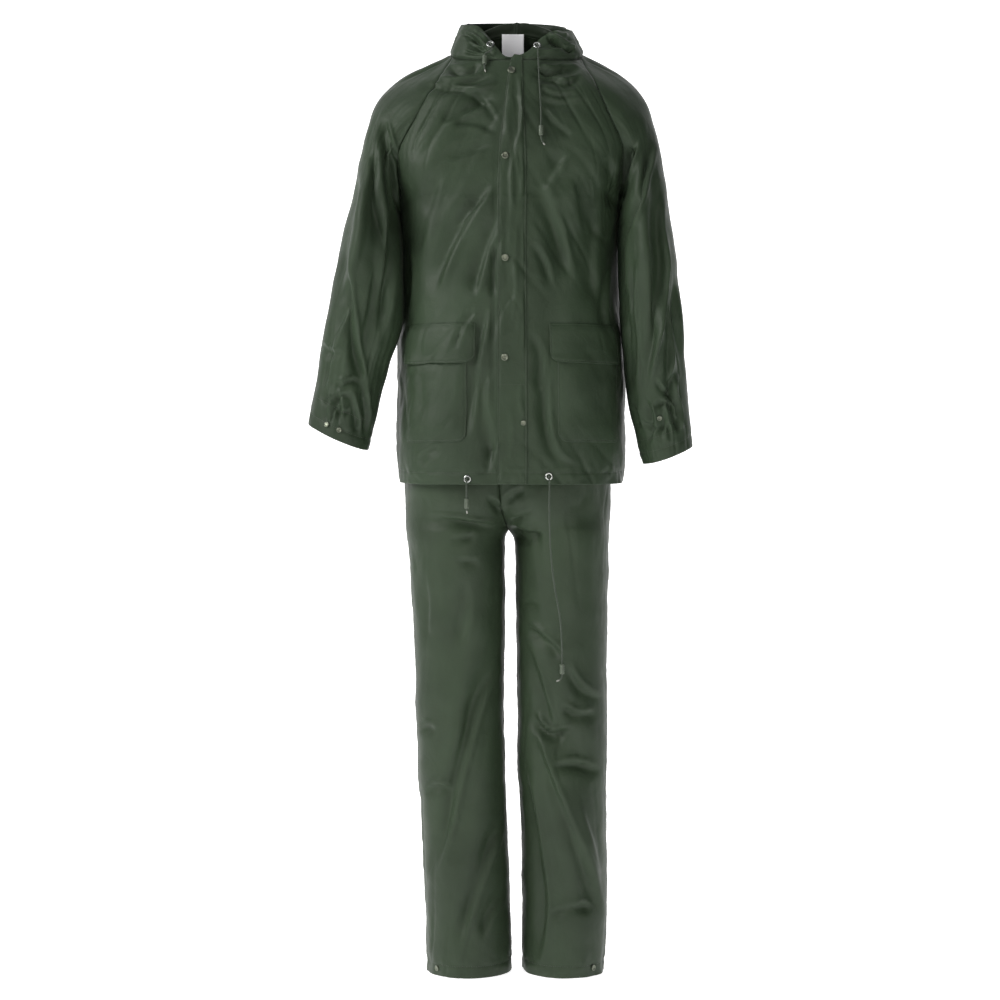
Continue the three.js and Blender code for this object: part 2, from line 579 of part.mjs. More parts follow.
function backLine(grid, j, distance) {
  const rows = [...grid].reverse();
  const line = rows.map((row) => row[j]);
  const inner = Math.max(j - 1, 0);
  const outer = Math.min(j + 1, BACK_COLUMNS.length - 1);
  const sideways = rows.map((row) => row[outer].clone().sub(row[inner]).normalize());
  return lineAt(line, sideways, distance);
}

function shoulderLine(grid, j, distance) {
  const line = grid.map((ring) => ring[j]);
  const sideways = grid.map((ring) => ring[j + 1].clone().sub(ring[j - 1]).normalize());
  return lineAt(line, sideways, distance);
}

// Trouser panel: rows from the waist to the hem, columns from the outseam to the centre seam or inseam
function trouserGrid(side, face) {
  const rise = face === "front" ? RISE_FRONT : RISE_BACK;
  const forward = face === "front" ? -1 : 1;
  return TROUSERS.map((row) => {
    const aboveCrotch = row.z >= rise[rise.length - 1].z;
    const inner = aboveCrotch
      ? V(column(rise, "z", "x", row.z), column(rise, "z", "y", row.z), column(rise, "z", "seamZ", row.z))
      : V(column(INSEAM, "z", side, row.z), INSEAM_Y, row.z);
    const outer = V(row[side], 0, row.z);
    const width = Math.abs(inner.x - outer.x);
    const angle = (Math.PI / 2) * row.turn;
    const middle = mix(HIP_MIDDLE, 1, row.turn) * row[face] * forward; // depth halfway from outseam to inner edge
    const pull = (8 * middle - 4 * inner.y * forward) / (1 + Math.sin(angle));
    const leave = V(0, forward * pull, 0);
    const inwards = Math.cos(angle) * HIP_PULL * width;
    const arrive = V(-outward(side) * inwards, -forward * Math.sin(angle) * pull, 0);
    return LEG_COLUMNS.map((u) => hermite(outer, leave, inner, arrive, u));
  });
}

// Waistband: from the trousers' top edge, all round, and pulled in by its elastic
function waistbandGrid(panels) {
  const edges = [
    [...panels.right.front[0]],
    [...panels.left.front[0]].reverse().slice(1),
    [...panels.left.back[0]].slice(1),
    [...panels.right.back[0]].reverse().slice(1),
  ];
  const ring = edges.flat();
  return [0, 0.5, 1].map((t) =>
    ring.map((point) => {
      const pull = mix(1, WAISTBAND.pull, t);
      return V(point.x * pull, point.y * pull, point.z + WAISTBAND.height * t);
    }),
  );
}

// Surfaces of the whole suit: a grid, whether it points outwards as it stands, whether it closes on itself,
// and which of its edges are sewn: top is the last row, bottom the first, start the first column, end the last
const surfaces = new Map();

function addSurface(name, garment, points, faces, sewn, closed = false) {
  surfaces.set(name, { garment, points, faces, sewn, closed });
}

const SIDES = ["right", "left"];
const FACES = ["front", "back"];
const body = {};
const sleeves = {};
const legs = {};
for (const side of SIDES) {
  body[side] = { front: bodyGrid(side, "front"), back: bodyGrid(side, "back") };
  sleeves[side] = sleeveGrid(side);
  legs[side] = { front: trouserGrid(side, "front"), back: trouserGrid(side, "back") };
}
const backWhole = body.right.back.map((row, i) => [...row].reverse().concat(body.left.back[i].slice(1)));

for (const side of SIDES) {
  const turn = side === "right" ? 1 : -1;
  addSurface("jacket_front_" + side, "jacket", body[side].front, turn, ["top", "start", "end"]);
  addSurface("sleeve_" + side, "sleeve_" + side, sleeves[side], -turn, ["bottom"], true);
}
addSurface("jacket_back", "jacket", backWhole, 1, ["top", "start", "end"]);
for (const side of SIDES) {
  const turn = side === "right" ? 1 : -1;
  const grid = hoodGrid(side, body, sleeves);
  addSurface("hood_" + side, "hood", grid, turn, ["bottom", "start", "end"]);
  addSurface("trouser_" + side + "_front", "trousers", legs[side].front, turn, ["bottom", "start", "end"]);
  addSurface("trouser_" + side + "_back", "trousers", legs[side].back, -turn, ["bottom", "start", "end"]);
}
addSurface("trouser_waistband", "trousers", waistbandGrid(legs), -1, ["bottom"], true);

// Directions out of the cloth, shared by the panels that meet at a seam
const placeKey = (p) => [p.x, p.y, p.z].map((n) => Math.round(n * 50)).join(" ");

function sharedNormals() {
  const sums = new Map();
  const add = (garment, point, normal) => {
    const key = placeKey(point);
    if (!sums.has(key)) sums.set(key, new Map());
    if (!sums.get(key).has(garment)) sums.get(key).set(garment, V(0, 0, 0));
    sums.get(key).get(garment).add(normal);
  };
  for (const { garment, points, faces } of surfaces.values()) {
    for (let i = 0; i < points.length - 1; i += 1) {
      for (let j = 0; j < points[0].length - 1; j += 1) {
        const corners = [points[i][j], points[i + 1][j], points[i + 1][j + 1], points[i][j + 1]];
        const rise = corners[2].clone().sub(corners[0]);
        const across = corners[3].clone().sub(corners[1]);
        const normal = rise.cross(across).multiplyScalar(faces);
        corners.forEach((corner) => add(garment, corner, normal));
      }
    }
  }
  const shared = (point) => {
    const sum = V(0, 0, 0);
    for (const normal of sums.get(placeKey(point)).values()) sum.addScaledVector(normal, 1 / normal.length());
    return sum.normalize();
  };
  for (const surface of surfaces.values()) {
    surface.normals = surface.points.map((row) => row.map(shared));
  }
}

// How far the folds move a point along its direction out
function foldDepth(garment, point, normal) {
  let depth = 0;
  for (const fold of FOLDS) {
    if (fold.on !== garment) continue;
    const facing = fold.side === "front" ? -normal.y : normal.y;
    if (facing <= 0) continue;
    const alongX = fold.x1 - fold.x0;
    const alongZ = fold.z1 - fold.z0;
    const length = Math.hypot(alongX, alongZ);
    const along = ((point.x - fold.x0) * alongX + (point.z - fold.z0) * alongZ) / length ** 2;
    if (along <= 0 || along >= 1) continue;
    const across = ((point.x - fold.x0) * alongZ - (point.z - fold.z0) * alongX) / length;
    const taper = Math.sin(Math.PI * along) ** 0.7;
    depth += fold.depth * taper * Math.exp(-((across / fold.width) ** 2)) * Math.min(1, facing * 1.4);
  }
  return depth;
}

sharedNormals();
for (const surface of surfaces.values()) {
  surface.points = surface.points.map((row, i) =>
    row.map((point, j) => {
      const normal = surface.normals[i][j];
      return point.clone().addScaledVector(normal, foldDepth(surface.garment, point, normal));
    }),
  );
}
sharedNormals();

// A closed solid between two grids of points: outer faces out and inner faces in
function shell(outer, inner, faces, closed) {
  const rows = outer.length;
  const columns = closed ? outer[0].length - 1 : outer[0].length;
  const positions = [];
  for (const grid of [outer, inner]) {
    for (const row of grid) row.slice(0, columns).forEach((p) => positions.push(p.x, p.y, p.z));
  }
  const index = [];
  const at = (layer, i, j) => layer * rows * columns + i * columns + (j % columns);
  const quad = (a, b, c, d) => (faces > 0 ? index.push(a, b, c, a, c, d) : index.push(a, c, b, a, d, c));
  const spans = closed ? columns : columns - 1;
  for (let i = 0; i < rows - 1; i += 1) {
    for (let j = 0; j < spans; j += 1) {
      quad(at(0, i, j), at(0, i + 1, j), at(0, i + 1, j + 1), at(0, i, j + 1));
      quad(at(1, i, j), at(1, i, j + 1), at(1, i + 1, j + 1), at(1, i + 1, j));
    }
  }
  for (let j = 0; j < spans; j += 1) {
    quad(at(0, 0, j), at(0, 0, j + 1), at(1, 0, j + 1), at(1, 0, j));
    quad(at(0, rows - 1, j), at(1, rows - 1, j), at(1, rows - 1, j + 1), at(0, rows - 1, j + 1));
  }
  for (let i = 0; i < rows - 1 && !closed; i += 1) {
    quad(at(0, i, 0), at(1, i, 0), at(1, i + 1, 0), at(0, i + 1, 0));
    const j = columns - 1;
    quad(at(0, i, j), at(0, i + 1, j), at(1, i + 1, j), at(1, i, j));
  }
  const geometry = new THREE.BufferGeometry();
  geometry.setAttribute("position", new THREE.Float32BufferAttribute(positions, 3));
  geometry.setIndex(index);
  geometry.computeVertexNormals();
  return geometry;
}

// Ways from each sewn point into the panels that meet there
function sewnWays() {
  const ways = new Map();
  for (const [name, { points, sewn }] of surfaces) {
    const last = points.length - 1;
    const end = points[0].length - 1;
    const add = (i, j, ni, nj) => {
      const key = placeKey(points[i][j]);
      if (!ways.has(key)) ways.set(key, new Map());
      if (!ways.get(key).has(name)) ways.get(key).set(name, V(0, 0, 0));
      ways.get(key).get(name).add(points[ni][nj].clone().sub(points[i][j]).normalize());
    };
    for (let j = 0; j <= end; j += 1) {
      if (sewn.includes("bottom")) add(0, j, 1, j);
      if (sewn.includes("top")) add(last, j, last - 1, j);
    }
    for (let i = 0; i <= last; i += 1) {
      if (sewn.includes("start")) add(i, 0, i, 1);
      if (sewn.includes("end")) add(i, end, i, end - 1);
    }
  }
  return ways;
}

// Draws the sewn edges of a panel away from its neighbours by half a seam gap
function drawBack(name, points, places) {
  return points.map((row, i) =>
    row.map((point, j) => {
      const meeting = ways.get(placeKey(places[i][j]));
      if (!meeting || !meeting.has(name)) return point.clone();
      const step = meeting.get(name).clone().normalize();
      for (const [other, way] of meeting) {
        if (other !== name) step.addScaledVector(way, -1 / (way.length() * (meeting.size - 1)));
      }
      return point.clone().add(step.setLength(SEAM_GAP * 0.55));
    }),
  );
}

const ways = sewnWays();
const offset = (points, normals, distance) =>
  points.map((row, i) => row.map((point, j) => point.clone().addScaledVector(normals[i][j], distance)));

// Materials
const coated = new THREE.MeshStandardMaterial({ color: 0x3d4a3c, roughness: 0.42, metalness: 0 });
const trouserCloth = new THREE.MeshStandardMaterial({ color: 0x3a473a, roughness: 0.42, metalness: 0 });
const trim = new THREE.MeshStandardMaterial({ color: 0x39463a, roughness: 0.42, metalness: 0 });
const labelCloth = new THREE.MeshStandardMaterial({ color: 0xe6e6ea, roughness: 0.6, metalness: 0 });
const snapMetal = new THREE.MeshStandardMaterial({ color: 0x7e8878, roughness: 0.4, metalness: 0.9 });
const eyeletMetal = new THREE.MeshStandardMaterial({ color: 0xb4b8ba, roughness: 0.25, metalness: 1 });
const cordYarn = new THREE.MeshStandardMaterial({ color: 0x2e3a2e, roughness: 0.8, metalness: 0 });
const barrelPlastic = new THREE.MeshStandardMaterial({ color: 0x5b6656, roughness: 0.45, metalness: 0 });

const suit = new THREE.Group();

function addMesh(name, geometry, material) {
  const mesh = new THREE.Mesh(geometry, material);
  mesh.name = name;
  suit.add(mesh);
  return mesh;
}

// Cloth panels
for (const [name, surface] of surfaces) {
  const thick = name === "trouser_waistband" ? WAISTBAND.cloth : CLOTH;
  const outer = drawBack(name, surface.points, surface.points);
  const inner = drawBack(name, offset(surface.points, surface.normals, -thick), surface.points);
  const material = surface.garment === "trousers" ? trouserCloth : coated;
  addMesh(name, shell(outer, inner, surface.faces, surface.closed), material);
}

// A block of a panel's own points, from one row and column to another
function block(name, rows, columns) {
  const surface = surfaces.get(name);
  const cut = (grid) => grid.slice(rows[0], rows[1] + 1).map((row) => row.slice(columns[0], columns[1] + 1));
  return { points: cut(surface.points), normals: cut(surface.normals), faces: surface.faces };
}

// A piece of cloth that lies on a block of a panel, each row at its own distance off it
function addOverlay(name, piece, lift, thick, material) {
  const raise = (extra) =>
    piece.points.map((row, i) => row.map((p, j) => p.clone().addScaledVector(piece.normals[i][j], lift(i) + extra)));
  return addMesh(name, shell(raise(thick), raise(0), piece.faces, false), material);
}

const bodyRow = (z) => BODY.findIndex((row) => row.z === z);

// Patch pockets and their flaps
for (const side of SIDES) {
  const front = "jacket_front_" + side;
  const pocket = block(front, [bodyRow(POCKET_BOTTOM_Z), bodyRow(POCKET_TOP_Z)], POCKET_COLUMNS);
  addOverlay("pocket_" + side, pocket, () => LAY_GAP, FLAP_CLOTH, trim);
  const rows = [bodyRow(POCKET_FLAP_BOTTOM_Z), bodyRow(POCKET_FLAP_TOP_Z)];
  const flap = block(front, rows, POCKET_FLAP_COLUMNS);
  const overPocket = LAY_GAP * 2 + FLAP_CLOTH;
  const lifts = [overPocket + POCKET_FLAP_LIFT, overPocket + 0.6, overPocket + 0.3, LAY_GAP];
  addOverlay("pocket_flap_" + side, flap, (i) => lifts[i], FLAP_CLOTH, trim);
}

// Storm flap over the front closure, from the hem to the neck seam
const stormRight = block("jacket_front_right", [0, BODY.length + RAGLAN_ROWS - 1], [0, FLAP_COLUMN]);
const stormLeft = block("jacket_front_left", [0, BODY.length + RAGLAN_ROWS - 1], [0, FLAP_COLUMN]);
const joinRows = (right, left) => right.map((row, i) => [...row].reverse().concat(left[i].slice(1)));
const stormFlap = {
  points: joinRows(stormRight.points, stormLeft.points),
  normals: joinRows(stormRight.normals, stormLeft.normals),
  faces: -1,
};
const stormCloth = addOverlay("storm_flap", stormFlap, () => LAY_GAP, FLAP_CLOTH, trim);

// A place on a grid, with its direction out: row and column may lie between those of the grid
function placeOn(piece, row, col) {
  const i = Math.min(Math.floor(row), piece.points.length - 2);
  const j = Math.min(Math.floor(col), piece.points[0].length - 2);
  const blend = (grid) => {
    const low = grid[i][j].clone().lerp(grid[i][j + 1], col - j);
    const high = grid[i + 1][j].clone().lerp(grid[i + 1][j + 1], col - j);
    return low.lerp(high, row - i);
  };
  return { point: blend(piece.points), normal: blend(piece.normals).normalize() };
}

// The row between those of a grid at which a column has a height
function rowAt(piece, col, z) {
  const heights = piece.points.map((row) => row[col].z);
  const rising = heights[1] > heights[0] ? 1 : -1;
  let i = 0;
  while (i < heights.length - 2 && (z - heights[i + 1]) * rising > 0) i += 1;
  return i + (z - heights[i]) / (heights[i + 1] - heights[i]);
}

// How far the cloth under a round piece reaches out of a place on it
function clothHeight(cloth, place, radius) {
  const probe = new THREE.Raycaster();
  const aside = V(0, 0, 1).cross(place.normal).normalize();
  const beside = place.normal.clone().cross(aside);
  let highest = -PROBE_REACH;
  for (let k = 0; k < PROBES; k += 1) {
    const angle = (2 * Math.PI * k) / PROBES;
    for (const reach of [0, radius * 0.6, radius]) {
      const from = place.point.clone().addScaledVector(place.normal, PROBE_REACH);
      from.addScaledVector(aside, Math.cos(angle) * reach).addScaledVector(beside, Math.sin(angle) * reach);
      probe.set(from, place.normal.clone().negate());
      const hit = probe.intersectObject(cloth)[0];
      if (hit) highest = Math.max(highest, PROBE_REACH - hit.distance);
    }
  }
  return highest;
}

// Seats a lathed piece on the cloth at a place, standing out of it
function seatLathe(name, profile, sides, cloth, place, material) {
  const mesh = addMesh(name, new THREE.LatheGeometry(profile, sides), material);
  const radius = Math.max(...profile.map((point) => point.x));
  const lift = clothHeight(cloth, place, radius) + LAY_GAP;
  mesh.quaternion.setFromUnitVectors(V(0, 1, 0), place.normal);
  mesh.position.copy(place.point).addScaledVector(place.normal, lift);
}

const P2 = (x, y) => new THREE.Vector2(x, y);
const snapProfile = (radius) => [
  P2(0, 0),
  P2(radius, 0),
  P2(radius, SNAP_HEIGHT * 0.4),
  P2(radius * 0.7, SNAP_HEIGHT * 0.85),
  P2(0, SNAP_HEIGHT),
];
const eyeletProfile = [
  P2(EYELET.bore, 0),
  P2(EYELET.radius, 0),
  P2(EYELET.radius, EYELET.height * 0.4),
  P2((EYELET.bore + EYELET.radius) / 2, EYELET.height),
  P2(EYELET.bore, EYELET.height * 0.4),
  P2(EYELET.bore, 0),
];

for (const snap of FLAP_SNAPS) {
  const place = placeOn(stormFlap, rowAt(stormFlap, 1, snap.z), 1 + snap.across);
  seatLathe(snap.name, snapProfile(snap.radius), 12, stormCloth, place, snapMetal);
}

// Small snaps near the cuffs and at the trouser hems, by ring and column of their panels
const SMALL_SNAPS = [
  { name: "cuff_snap_right_1", on: "sleeve_right", row: 15.2, col: 5.6, radius: CUFF_SNAP_RADIUS },
  { name: "cuff_snap_right_2", on: "sleeve_right", row: 15.2, col: 4.4, radius: CUFF_SNAP_RADIUS },
  { name: "cuff_snap_left", on: "sleeve_left", row: 14.05, col: 4.0, radius: CUFF_SNAP_RADIUS },
  { name: "hem_snap_right", on: "trouser_right_front", row: 19.75, col: 1.7, radius: HEM_SNAP_RADIUS },
  { name: "hem_snap_left", on: "trouser_left_front", row: 19.72, col: 1.9, radius: HEM_SNAP_RADIUS },
];
for (const snap of SMALL_SNAPS) {
  const place = placeOn(surfaces.get(snap.on), snap.row, snap.col);
  seatLathe(snap.name, snapProfile(snap.radius), 12, suit.getObjectByName(snap.on), place, snapMetal);
}

// Eyelets, by row and column of their panels
const EYELETS = [
  { name: "hood_eyelet_right", on: "hood_right", row: 9.1, col: 4.15 },
  { name: "hood_eyelet_left", on: "hood_left", row: 9.5, col: 3.4 },
  { name: "hem_eyelet_right", on: "jacket_front_right", row: 0.38, col: 2.95 },
  { name: "hem_eyelet_left", on: "jacket_front_left", row: 0.55, col: 1.95 },
];
for (const eyelet of EYELETS) {
  const place = placeOn(surfaces.get(eyelet.on), eyelet.row, eyelet.col);
  seatLathe(eyelet.name, eyeletProfile, 14, suit.getObjectByName(eyelet.on), place, eyeletMetal);
}

// Drawstrings and their barrels
const cordSection = new THREE.Shape(
  Array.from({ length: CORD.sides }, (_, k) => {
    const angle = (2 * Math.PI * k) / CORD.sides;
    return P2(CORD.radius * Math.cos(angle), CORD.radius * Math.sin(angle));
  }),
);
for (const { name, route, barrel } of CORDS) {
  const curve = new THREE.CatmullRomCurve3(route.map((point) => V(...point)), false, "centripetal");
  const steps = Math.min(CORD.mostSteps, Math.round(curve.getLength() / CORD.step));
  addMesh(name, new THREE.ExtrudeGeometry(cordSection, { steps, bevelEnabled: false, extrudePath: curve }), cordYarn);
  const top = V(...barrel.top);
  const axis = V(...barrel.bottom).sub(top);
  const length = axis.length();
  const profile = [
    P2(BARREL.bore, 0),
    P2(BARREL.radius - BARREL.edge, 0),
    P2(BARREL.radius, BARREL.edge),
    P2(BARREL.radius, length - BARREL.edge),
    P2(BARREL.radius - BARREL.edge, length),
    P2(BARREL.bore, length),
    P2(BARREL.bore, 0),
  ];
  const mesh = addMesh(barrel.name, new THREE.LatheGeometry(profile, BARREL.sides), barrelPlastic);
  mesh.quaternion.setFromUnitVectors(V(0, 1, 0), axis.normalize());
  mesh.position.copy(top);
}

// Neck label
const label = new THREE.BoxGeometry(LABEL.width, LABEL_CLOTH, LABEL.height);
addMesh("neck_label", label, labelCloth).position.set(LABEL.x, LABEL.y, LABEL.top - LABEL.height / 2);

export default suit;
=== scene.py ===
"""Dresses a rain suit in Blender: a hooded jacket of coated cloth over a pair of trousers, both hollow.

Shapes are worked out in millimetres in the suit's own frame and made in metres. +Z is up, the front faces -Y, and
+X is the wearer's left. Creases are placed by the pixel of a 1000 pixel picture taken by the scene's camera.
"""
import math

import bpy
import numpy as np
from bpy.props import FloatProperty, FloatVectorProperty, PointerProperty
from bpy.types import Operator, Panel, PropertyGroup
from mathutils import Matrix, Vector


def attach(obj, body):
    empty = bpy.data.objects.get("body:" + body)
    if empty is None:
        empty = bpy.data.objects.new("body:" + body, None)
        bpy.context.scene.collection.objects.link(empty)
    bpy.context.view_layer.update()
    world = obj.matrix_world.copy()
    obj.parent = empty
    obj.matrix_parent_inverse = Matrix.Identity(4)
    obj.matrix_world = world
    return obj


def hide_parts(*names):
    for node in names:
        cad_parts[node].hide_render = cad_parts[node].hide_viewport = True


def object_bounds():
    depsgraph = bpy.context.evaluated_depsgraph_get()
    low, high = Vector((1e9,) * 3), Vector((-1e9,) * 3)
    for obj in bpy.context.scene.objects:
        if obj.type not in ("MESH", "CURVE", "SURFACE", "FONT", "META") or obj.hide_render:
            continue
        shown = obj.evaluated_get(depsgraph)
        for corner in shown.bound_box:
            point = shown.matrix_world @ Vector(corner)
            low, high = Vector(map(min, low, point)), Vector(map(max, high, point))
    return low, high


bl_info = {
    "name": "Rain Suit",
    "version": (1, 0, 0),
    "blender": (4, 5, 0),
    "location": "3D View > Sidebar > Rain Suit",
    "description": "Makes the cloth, creases, stitches, snaps, eyelets and drawstrings of a rain suit",
    "category": "Add Mesh",
}

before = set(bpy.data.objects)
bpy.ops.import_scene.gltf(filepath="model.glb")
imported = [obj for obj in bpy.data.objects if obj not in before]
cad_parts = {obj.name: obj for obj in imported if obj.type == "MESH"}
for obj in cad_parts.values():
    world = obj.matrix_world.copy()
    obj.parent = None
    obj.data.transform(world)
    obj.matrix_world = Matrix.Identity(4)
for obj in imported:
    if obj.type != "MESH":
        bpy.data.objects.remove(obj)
FRAME_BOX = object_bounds()

MM = 0.001
SIDES = ("right", "left")
OUTWARD = {"right": -1.0, "left": 1.0}
TURN = {"right": 1, "left": -1}  # sign of a panel whose rows and columns turn outwards

# Camera: millimetres a pixel at the suit's middle plane, and the pixel of the origin
CAMERA_PLACE = (-19.0, -4100.0, -777.0)
PIXEL = 1.75
SENSOR = 36
ORIGIN_PIXEL = (511.0, 56.0)


def table(names, *rows):
    """Columns of a table of measurements, by name."""
    values = np.array(rows, float)
    return {name: values[:, k] for k, name in enumerate(names.split())}


BODY = table(
    "z right left front back seam full",
    (-751, -194, 197, -150, 146, 0, 2.1), (-726, -197, 200, -150, 146, 4, 2.1),
    (-679, -199, 201, -149, 145, 12, 2.1), (-612, -199, 201, -148, 143, 22, 2.1),
    (-545, -198, 200, -146, 140, 30, 2.1), (-501, -196, 197, -144, 137, 34, 2.1),
    (-489, -194, 196, -143, 136, 34, 2.1), (-477, -192, 194, -142, 135, 34, 2.1),
    (-430, -191, 190, -140, 134, 34, 2.1), (-375, -191, 187, -138, 133, 32, 2.1),
    (-318, -190, 185, -135, 131, 22, 2.12), (-262, -189, 187, -131, 128, 0, 2.2),
)
CENTRE_FRONT_LINE = table(
    "s y z",
    (0, -130, -262), (0.3, -121, -190), (0.6, -110, -115), (0.85, -95, -52), (1, -80, -20),
)
CENTRE_BACK_LINE = table(
    "s y z",
    (0, 127, -262), (0.3, 122, -170), (0.6, 112, -72), (0.85, 94, 10), (1, 76, 50),
)
RAGLAN_FRONT = table(
    "s right left y z out on up",
    (0, -189, 187, 0, -262, 0, 288, 0), (0.2, -194, 193, -42, -221, 10, 220, -15),
    (0.4, -191, 192, -72, -174, 50, 130, -30), (0.6, -163, 170, -85, -120, 80, 60, -35),
    (0.8, -132, 145, -73, -62, 70, 60, -25), (1, -101, 122, -22, -7, 20, 95, 34),
)
RAGLAN_BACK = table(
    "s right left y z out on up",
    (0, -189, 187, 0, -262, 0, -282, 0), (0.2, -193, 193, 42, -219, 10, -220, -15),
    (0.4, -182, 187, 72, -168, 50, -130, -30), (0.6, -152, 162, 86, -110, 80, -60, -35),
    (0.8, -119, 134, 78, -46, 70, -60, -30), (1, -86, 107, 38, 15, 30, -90, -30),
)
SLEEVE_RIGHT = table(
    "top_x top_z under_x under_z front back y",
    (-246, -112, -192, -298, 86, 84, -4), (-255, -147, -190, -320, 86, 84, -14),
    (-262, -182, -188, -343, 86, 84, -24), (-269, -222, -187, -370, 84, 82, -32),
    (-280, -270, -186, -402, 80, 79, -38), (-292, -322, -185.5, -435, 76, 76, -42),
    (-303, -374, -186, -466, 72, 72, -44), (-313, -428, -195, -500, 68, 68, -45),
    (-323, -482, -208, -537, 64, 64, -45), (-332, -536, -220, -580, 61, 61, -45),
    (-341, -588, -232, -630, 58, 58, -45), (-348, -624, -241, -668, 56, 55, -45),
    (-351, -644, -246, -690, 55, 54, -45),
)
SLEEVE_LEFT = table(
    "top_x top_z under_x under_z front back y",
    (247, -112, 186, -298, 88, 85, -4), (256, -147, 185.5, -322, 88, 86, -16),
    (261, -182, 185.5, -347, 87, 86, -28), (267, -222, 185.5, -376, 86, 85, -36),
    (273, -270, 186.5, -410, 84, 83, -41), (281, -322, 188, -449, 82, 80, -44),
    (287, -376, 190, -488, 79, 77, -46), (293, -430, 194, -529, 75, 73, -47), (298, -486, 197, -568, 71, 69, -48),
    (302, -542, 202, -614, 66, 64, -48), (307, -600, 213, -656, 62, 60, -48), (311, -649, 222, -694, 59, 57, -48),
    (313, -682, 228, -713, 58, 56, -48),
)
SLEEVE_START = table(
    "around out y down",
    (0, 0.4, 0, 0.9), (0.12, 0.85, -0.1, 0.6), (0.25, 0.92, 0, 0.4), (0.38, 0.94, 0.05, 0.47),
    (0.5, 0.94, 0, 0.47), (0.62, 0.94, -0.05, 0.47), (0.75, 0.92, 0, 0.4), (0.88, 0.85, 0.1, 0.6),
    (1, 0.4, 0, 0.9),
)
HOOD_EDGE = table(
    "around right left",
    (0, 4, 5), (0.06, 7, 14), (0.12, 22, 29), (0.18, 39, 41), (0.26, 59, 51), (0.36, 60, 51), (0.5, 53.5, 44),
    (0.6, 50.5, 44), (0.7, 55, 44), (1, 42, 42),
)
HOOD_FOLD = table(
    "around fold drop depth",
    (0, 0, 6, 6), (0.5, 0, 20, 10), (0.62, 0.12, 60, 24), (0.75, 0.6, 130, 38), (0.87, 0.94, 185, 48),
    (1, 1, 208, 52),
)
HOOD_BAG = table(
    "v crest along off deep",
    (0, 0, 0, 0, 0), (0.12, 1, 0, 4, 0), (0.2, 0.55, 0, 11, 0), (0.45, 0, 0.5, 7, 0), (0.62, 0, 0.94, 7, 0.05),
    (0.7, 0, 1, 7, 0.3), (0.78, 0, 0.9, 6, 0.75), (0.9, 0, 0.42, 6, 0.95), (1, 0.52, 0, 6, 0.92),
)
HOOD_WALL = table(
    "v rise out",
    (0, 0, 0), (0.2, 0.18, 0), (0.5, 0.5, -6), (0.8, 0.82, -13), (1, 1, -19),
)
TROUSERS = table(
    "z right left front back turn",
    (-540, -163, 157, -102, 107, 0), (-600, -172, 165, -106, 113, 0), (-650, -180, 170, -108, 117, 0.02),
    (-690, -183, 173, -109, 118, 0.08), (-725, -184, 174, -109, 118, 0.2), (-756, -185, 174.5, -109, 118, 0.38),
    (-783, -184, 174, -109, 118, 0.58), (-806, -183, 173, -109, 118, 0.8), (-828, -182, 172, -109, 117, 1),
    (-842, -180.6, 171.8, -109, 116.5, 1), (-870, -178, 171, -108, 115, 1), (-930, -174, 170, -105, 110, 1),
    (-1000, -171, 168.5, -101, 104, 1), (-1080, -167.5, 168, -97, 98, 1), (-1160, -165, 168, -94, 93, 1),
    (-1240, -162, 168, -92, 90, 1), (-1320, -158, 167, -91, 88, 1), (-1400, -154, 167.5, -91, 87, 1),
    (-1480, -150, 167, -91, 87, 1), (-1545, -147.5, 166, -92, 88, 1), (-1596, -145, 165, -92, 88, 1),
)
RISE_FRONT = table(
    "z x y seam_z",
    (-540, -12, -102, -540), (-600, -13, -106, -600), (-650, -15, -108, -650), (-690, -17, -109, -690),
    (-725, -19, -108, -727), (-756, -20, -102, -762), (-783, -16, -84, -793), (-806, -9, -48, -817),
    (-828, -4, 5, -828),
)
RISE_BACK = table(
    "z x y seam_z",
    (-540, -8, 107, -530), (-600, -8, 113, -594), (-650, -8, 117, -647), (-690, -8, 118, -690),
    (-725, -8, 117, -728), (-756, -8, 111, -764), (-783, -8, 92, -795), (-806, -6, 54, -818), (-828, -4, 5, -828),
)
INSEAM = table(
    "z right left",
    (-828, -4, -4), (-842, -10, 5), (-870, -10.5, 8), (-930, -10, 8.5), (-1080, -12, 11), (-1160, -13, 12),
    (-1240, -11, 12.5), (-1320, -7, 18), (-1400, -3.5, 19.5), (-1596, 0, 21),
)
LARGE_FOLDS = [
    ("sleeve_right", "front", -262, -150, -318, -520, 17, -9),
    ("sleeve_right", "front", -236, -190, -290, -560, 16, 8),
    ("sleeve_right", "front", -214, -230, -262, -600, 15, -9),
    ("sleeve_right", "back", -240, -170, -300, -540, 18, -8),
    ("sleeve_left", "front", 232, -120, 272, -500, 16, -9), ("sleeve_left", "front", 214, -190, 250, -560, 15, 8),
    ("sleeve_left", "front", 290, -470, 299, -655, 11, -7), ("sleeve_left", "back", 235, -170, 272, -540, 18, -8),
    ("jacket", "front", -150, -250, -40, -395, 26, -5), ("jacket", "front", 160, -215, 60, -400, 28, -5),
    ("jacket", "front", 70, -400, 60, -700, 22, -5), ("jacket", "back", -120, -330, -70, -680, 30, -8),
    ("jacket", "back", 30, -330, 12, -700, 26, -6), ("jacket", "back", 130, -310, 90, -660, 30, -8),
    ("trousers", "front", -60, -880, -140, -1240, 28, -7), ("trousers", "front", -35, -1010, -95, -1400, 24, -7),
    ("trousers", "front", 24, -1125, 150, -1250, 24, -9), ("trousers", "front", 30, -1150, 140, -1440, 26, 8),
    ("trousers", "back", -40, -930, -120, -1330, 30, -8), ("trousers", "back", 40, -1060, 130, -1340, 30, -8),
]
CENTRE_X = {"front": (2.0, 9.0), "back": (3.0, 10.0)}  # at the underarm and at the neck seam
